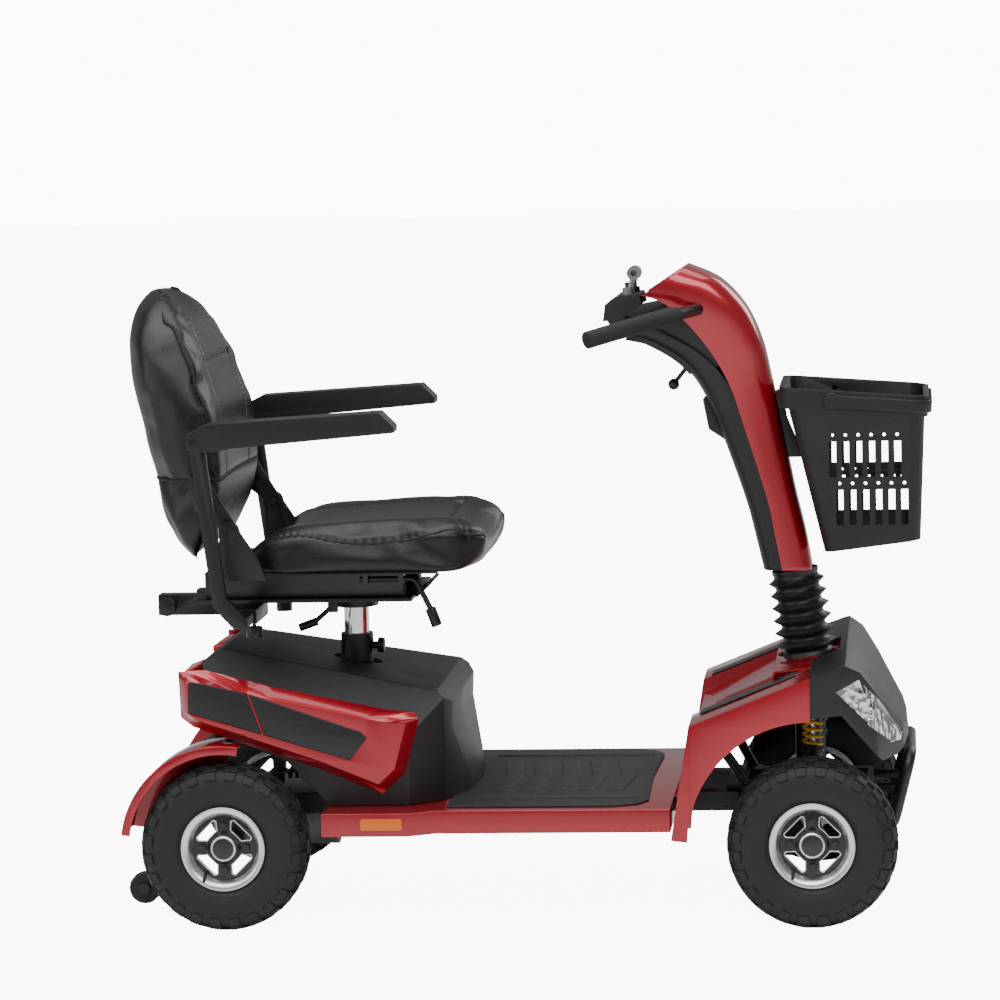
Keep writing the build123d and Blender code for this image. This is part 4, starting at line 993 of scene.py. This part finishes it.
def swept(name, points, radius, resolution=8, ends=1.0):
    """A round bar along a smooth path, its two ends drawn in by the share given."""
    path = bpy.data.curves.new(name, "CURVE")
    path.dimensions = "3D"
    path.bevel_depth = radius
    path.bevel_resolution = resolution
    path.resolution_u = 12
    path.use_fill_caps = True
    line = path.splines.new("NURBS")
    line.points.add(len(points) - 1)
    for n, (point, spot) in enumerate(zip(line.points, points)):
        point.co = (*spot, 1)
        point.radius = ends if n in (0, len(points) - 1) else 1.0
    line.order_u = 3
    line.use_endpoint_u = True
    bar = bpy.data.objects.new(name, path)
    bpy.context.collection.objects.link(bar)
    take_up(bar)
    bpy.ops.object.convert(target="MESH")
    bar = bpy.context.object
    bpy.ops.object.shade_smooth_by_angle(angle=radians(50))
    return bar


grips = []
for side in (-1, 1):
    sleeve = [
        (0.1165, 0.263, 0.9057),
        (0.1167, 0.2628, 0.9058),
        (0.1190, 0.2610, 0.9063),
        (0.1225, 0.2580, 0.9072),
        (0.1600, 0.2240, 0.9160),
        (0.2100, 0.1800, 0.9275),
        (0.2300, 0.1580, 0.9315),
        (0.2460, 0.1250, 0.9340),
        (0.2560, 0.1060, 0.9355),
    ]
    grips.append(swept("foam_sleeve", [(x, side * y, z) for x, y, z in sleeve], GRIP_RADIUS, ends=0.35))
grip_pair = join("foam_grips", grips)
grip_pair.data.materials.clear()
grip_pair.data.materials.append(grip_foam)
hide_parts("hand_grips")
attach(grip_pair, "tiller")
crisp_copy("console", "tiller", grained_black, width=0.004, segments=4)
paint("speed_dial", satin_black)
paint("horn_button", candy_red)
bright_grey = aged_finish("ball_mount_grey", (0.30, 0.31, 0.32), 0.3, metallic=0.7)
paint("accessory_mount", bright_grey)
paint("throttle_lever", satin_black)
paint("tilt_lever", satin_black)

# ------------------------------------------------------------------ basket
# An injection-moulded basket with slotted walls and a fold-down carry handle.
basket_plastic = aged_finish(
    "basket_plastic", (0.006, 0.006, 0.007), 0.42, dust=0.1, grain=1100, depth=0.0002
)
crisp_copy("basket", "tiller", basket_plastic, width=0.0008)
crisp_copy("basket_handle", "carry_handle", basket_plastic, width=0.0015)

# ------------------------------------------------------------------ seat frame
# The plated post in its sleeve, the pressed swivel plate, the two slides with their latch slots,
# and the folding back's hinges, all powder coated black.
paint("seat_post", chrome)
for seat_node, seat_body in (
    ("seat_base", "swivel_base"),
    ("arm_supports", "swivel_base"),
    ("seat_frame", "sliding_seat"),
    ("slide_lever", "slide_handle"),
    ("swivel_lever", "swivel_handle"),
    ("backrest_frame", "backrest"),
):
    crisp_copy(seat_node, seat_body, powder_coat, width=0.001, segments=2)

# ------------------------------------------------------------------ seat cushion
# Foam under grained black vinyl: a dished top between two raised sides, a rolled front,
# and welted seams round the top panel. It is sewn slack and the foam fills it.
SEAT_REAR_X = -0.4265
SEAT_FRONT_X = -0.0460
SEAT_BASE_Z = 0.5460
VOXEL = 0.0055
ABOVE_SEAT = 0.8
THREAD, WELT = 0.0009, 0.0022
SEAT_SEAM_DEPTH, SEAT_SEAM_REACH = 0.0035, 0.012
seat_vinyl = aged_finish(
    "seat_vinyl", (0.004, 0.004, 0.0045), 0.30, patchiness=0.25, dust=0.0, grain=620, depth=0.00025
)
seat_vinyl.node_tree.nodes["Principled BSDF"].inputs["Specular IOR Level"].default_value = 0.45
thread_black = aged_finish("seam_thread", (0.006, 0.006, 0.007), 0.7, dust=0.0)


def between(value, table):
    """Reads a rising table of (place, size) pairs, smoothly between its entries."""
    if value <= table[0][0]:
        return table[0][1]
    for (a, fa), (b, fb) in zip(table, table[1:]):
        if value <= b:
            t = (value - a) / (b - a)
            t = t * t * (3 - 2 * t) * 0.5 + t * 0.5
            return fa + (fb - fa) * t
    return table[-1][1]


def foam_block(name, cuts, shape):
    """A finely cut block whose every point shape(a, b, c) puts in place, from -1 to 1 each way."""
    start_clean()
    bpy.ops.mesh.primitive_cube_add(size=2, location=(0, 0, 0))
    bpy.ops.object.mode_set(mode="EDIT")
    bpy.ops.mesh.select_all(action="SELECT")
    bpy.ops.mesh.subdivide(number_cuts=cuts)
    bpy.ops.object.mode_set(mode="OBJECT")
    block = bpy.context.object
    block.name = name
    for vertex in block.data.vertices:
        vertex.co = shape(*vertex.co)
    return block


def fill_with_foam(block, pressure, cap, pinned):
    """Inflates a sewn cover with cloth physics, held where pinned() says, and keeps every move under cap."""
    take_up(block)
    weave = block.modifiers.new("cut", "REMESH")
    weave.mode = "VOXEL"
    weave.voxel_size = VOXEL
    bpy.ops.object.modifier_apply(modifier=weave.name)
    ease = block.modifiers.new("ease", "SMOOTH")
    ease.factor = 0.6
    ease.iterations = 8
    bpy.ops.object.modifier_apply(modifier=ease.name)
    sewn = [v.co.copy() for v in block.data.vertices]
    held = block.vertex_groups.new(name="held")
    held.add([v.index for v in block.data.vertices if pinned(v.co)], 1.0, "ADD")
    cloth = block.modifiers.new("cover", "CLOTH")
    cloth.settings.use_pressure = True
    cloth.settings.uniform_pressure_force = pressure
    cloth.settings.effector_weights.gravity = 0
    cloth.settings.quality = 4
    cloth.settings.mass = 0.3
    cloth.settings.tension_stiffness = 25
    cloth.settings.compression_stiffness = 25
    cloth.settings.bending_stiffness = 0.6
    cloth.settings.vertex_group_mass = held.name
    scene = bpy.context.scene
    for step in range(1, 21):
        scene.frame_set(step)
    filled = block.evaluated_get(bpy.context.evaluated_depsgraph_get())
    swollen = [v.co.copy() for v in filled.data.vertices]
    block.modifiers.remove(cloth)
    scene.frame_set(1)
    for vertex, was, now in zip(block.data.vertices, sewn, swollen):
        move = now - was
        if move.length > cap:
            move = move.normalized() * cap
        vertex.co = was + move
    settle = block.modifiers.new("settle", "SMOOTH")
    settle.factor = 0.5
    settle.iterations = 14
    bpy.ops.object.modifier_apply(modifier=settle.name)
    finer = block.modifiers.new("finer", "SUBSURF")
    finer.levels = 1
    finer.render_levels = 1
    bpy.ops.object.modifier_apply(modifier=finer.name)
    for face in block.data.polygons:
        face.use_smooth = True


def seat_shape(a, b, c):
    """Where a point of the seat's block goes: a along the seat, b across it and c up it."""
    along, up = (a + 1) / 2, (c + 1) / 2
    front_pull = max(0.0, (along - 0.80) / 0.20)
    rear_pull = max(0.0, (0.14 - along) / 0.14)
    half = 0.213 - 0.055 * front_pull**2 - 0.018 * rear_pull
    side = between(
        along,
        [
            (0.0, 0.590),
            (0.08, 0.602),
            (0.24, 0.610),
            (0.62, 0.617),
            (0.86, 0.619),
            (0.95, 0.612),
            (1.0, 0.598),
        ],
    )
    middle = between(
        along, [(0.0, 0.582), (0.12, 0.596), (0.55, 0.604), (0.82, 0.606), (0.94, 0.598), (1.0, 0.584)]
    )
    top = middle + (side - middle) * min(1.0, abs(b) / 0.72) ** 2.2
    top -= 0.012 * max(0.0, (abs(b) - 0.82) / 0.18) ** 2
    under = SEAT_BASE_Z + 0.016 * max(0.0, (along - 0.86) / 0.14) ** 1.5
    lean = -0.014 * max(0.0, (along - 0.85) / 0.15) * (1 - up) ** 1.5
    waist = 0.007 * (1 - (up - 0.45) ** 2 * 4)
    x = SEAT_REAR_X + (SEAT_FRONT_X - SEAT_REAR_X) * along + lean
    return Vector((x, b * (half - waist), under + (top - under) * up))


cushion = foam_block("seat_cushion_vinyl", 28, seat_shape)
fill_with_foam(cushion, 4.0, 0.010, lambda p: p.z < SEAT_BASE_Z + 0.006)
cushion.data.materials.append(seat_vinyl)


def seam_on(piece, name, points, towards, radius, sink):
    """A welt or thread laid on a soft piece: each point is dropped onto it along one direction."""
    laid = []
    for point in points:
        hit, spot, normal, _ = piece.ray_cast(Vector(point), Vector(towards))
        if hit:
            laid.append(spot + normal * sink)
    path = bpy.data.curves.new(name, "CURVE")
    path.dimensions = "3D"
    path.bevel_depth = radius
    path.bevel_resolution = 2
    path.use_fill_caps = True
    line = path.splines.new("NURBS")
    line.points.add(len(laid) - 1)
    for point, spot in zip(line.points, laid):
        point.co = (*spot, 1)
    line.order_u = 3
    line.use_endpoint_u = True
    seam = bpy.data.objects.new(name, path)
    bpy.context.collection.objects.link(seam)
    take_up(seam)
    bpy.ops.object.convert(target="MESH")
    seam = bpy.context.object
    for face in seam.data.polygons:
        face.use_smooth = True
    return seam


def press_seam(piece, points, towards, depth, reach):
    """Pulls a soft piece in along a sewn line, deepest on the line itself."""
    line = []
    for point in points:
        hit, spot, _, _ = piece.ray_cast(Vector(point), Vector(towards))
        if hit:
            line.append(spot)
    near = KDTree(len(line))
    for n, spot in enumerate(line):
        near.insert(spot, n)
    near.balance()
    pulls = []
    for vertex in piece.data.vertices:
        _, _, distance = near.find(vertex.co)
        pulls.append(max(0.0, 1 - distance / reach) ** 2 if distance < reach else 0.0)
    for vertex, pull in zip(piece.data.vertices, pulls):
        if pull:
            vertex.co -= vertex.normal * depth * pull


def fine_line(points, steps=10):
    """A smooth line of points through a few."""
    return [tuple(p) for p in flowing([tuple(p) for p in points], steps)]


down = (0, 0, -1)
edge_seam = [(-0.405, 0.178), (-0.30, 0.197), (-0.16, 0.200), (-0.085, 0.183), (-0.055, 0.14)]
panel_seam = [(-0.400, 0.118), (-0.30, 0.124), (-0.19, 0.128), (-0.125, 0.118)]
slant_seam = [(-0.125, 0.118), (-0.10, 0.150), (-0.082, 0.184)]
seat_seams = []
for side in (-1, 1):
    for name, outline in (("edge", edge_seam), ("panel", panel_seam), ("slant", slant_seam)):
        line = fine_line([(x, side * y, ABOVE_SEAT) for x, y in outline])
        press_seam(cushion, line, down, SEAT_SEAM_DEPTH, SEAT_SEAM_REACH)
        seat_seams.append((name, line))
front_line = fine_line([(-0.125, y, ABOVE_SEAT) for y in (-0.118, -0.06, 0.0, 0.06, 0.118)])
press_seam(cushion, front_line, down, SEAT_SEAM_DEPTH, SEAT_SEAM_REACH)
seat_seams.append(("front", front_line))
sewn_lines = []
for name, line in seat_seams:
    sewn_lines.append(
        seam_on(cushion, f"seat_{name}_seam", line, down, WELT if name == "edge" else THREAD, 0.0)
    )
seat_welts = join("seat_cushion_seams", sewn_lines)
seat_welts.data.materials.clear()
seat_welts.data.materials.append(thread_black)
for piece in (cushion, seat_welts):
    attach(piece, "sliding_seat")
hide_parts("seat_cushion")

# ------------------------------------------------------------------ back cushion
# A round-topped back in the same vinyl: a full front panel edged with piping, a deep gusset,
# and a black pouch that closes the lower third behind the hinges.
BACK_BASE_Z = 0.566
BACK_TOP_Z = 0.993
POUCH_Z = 0.694
POUCH_WELT = 0.0030
BACK_WELT = 0.0028
BEFORE_BACK, BEHIND_BACK = -0.3, -0.8
back_rear = [
    (0.562, -0.532),
    (0.590, -0.558),
    (0.625, -0.573),
    (0.690, -0.576),
    (0.758, -0.593),
    (0.870, -0.617),
    (0.925, -0.627),
    (0.965, -0.622),
    (0.993, -0.600),
]
back_front = [
    (0.562, -0.520),
    (0.590, -0.499),
    (0.640, -0.480),
    (0.700, -0.472),
    (0.790, -0.477),
    (0.872, -0.500),
    (0.925, -0.520),
    (0.962, -0.540),
    (0.993, -0.570),
]


def back_half_width(z):
    """Half the back's width at a height: straight sides under a round top."""
    rise = min(0.985, max(0.0, (z - 0.79) / 0.212))
    return 0.205 * (1 - rise**2.2) ** 0.5


def back_shape(a, b, c):
    """Where a point of the back's block goes: a from rear to front, b across it and c up it."""
    z = BACK_BASE_Z + (BACK_TOP_Z - BACK_BASE_Z) * (c + 1) / 2
    half = back_half_width(z) - 0.040 * max(0.0, (0.64 - z) / 0.08) ** 2
    rear = between(z, back_rear) + 0.034 * abs(b) ** 2.6
    front = between(z, back_front) - 0.006 * (1 - b * b)
    return Vector((rear + (front - rear) * (a + 1) / 2, b * half, z))


back = foam_block("back_cushion_vinyl", 28, back_shape)
fill_with_foam(back, 3.5, 0.009, lambda p: p.z < 0.60 and p.x < -0.50)
back.data.materials.append(seat_vinyl)
back_pieces = []
for side in (-1, 1):
    arch = [(0.93 * back_half_width(z), z) for z in (0.700, 0.780, 0.850, 0.900, 0.940, 0.965)]
    arch += [(0.035, 0.984), (0.0, 0.986)]
    welt = fine_line([(BEFORE_BACK, side * y, z) for y, z in arch])
    press_seam(back, welt, (-1, 0, 0), 0.003, 0.012)
    back_pieces.append(seam_on(back, "back_welt", welt, (-1, 0, 0), BACK_WELT, 0.0008))
    panel = [(0.105, 0.70), (0.118, 0.80), (0.112, 0.87), (0.080, 0.952)]
    inner = fine_line([(BEFORE_BACK, side * y, z) for y, z in panel])
    press_seam(back, inner, (-1, 0, 0), 0.0028, 0.011)
    back_pieces.append(seam_on(back, "back_panel_seam", inner, (-1, 0, 0), THREAD, 0.0))
cross = fine_line([(BEFORE_BACK, y, 0.875) for y in (-0.111, -0.055, 0, 0.055, 0.111)])
press_seam(back, cross, (-1, 0, 0), 0.0028, 0.011)
back_pieces.append(seam_on(back, "back_cross_seam", cross, (-1, 0, 0), THREAD, 0.0))
for start_x, way in ((BEFORE_BACK, -1), (BEHIND_BACK, 1)):
    line = fine_line([(start_x, y, POUCH_Z) for y in (-0.196, -0.1, 0, 0.1, 0.196)])
    press_seam(back, line, (way, 0, 0), 0.003, 0.012)
    back_pieces.append(seam_on(back, "pouch_welt", line, (way, 0, 0), POUCH_WELT, 0.001))
for side in (-1, 1):
    line = fine_line([(x, side * 0.4, POUCH_Z) for x in (-0.556, -0.53, -0.50, -0.480)])
    back_pieces.append(seam_on(back, "pouch_welt_side", line, (0, -side, 0), POUCH_WELT, 0.001))
back_welts = join("back_cushion_seams", back_pieces)
back_welts.data.materials.clear()
back_welts.data.materials.append(thread_black)
for piece in (back, back_welts):
    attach(piece, "backrest")
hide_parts("backrest_pad")

# ------------------------------------------------------------------ armrests
# Moulded black skins over a channel, pinned to the flat steel uprights.
for side_name in ("left", "right"):
    crisp_copy(f"armrest_{side_name}", f"arm_{side_name}", satin_black, width=0.005, segments=4)
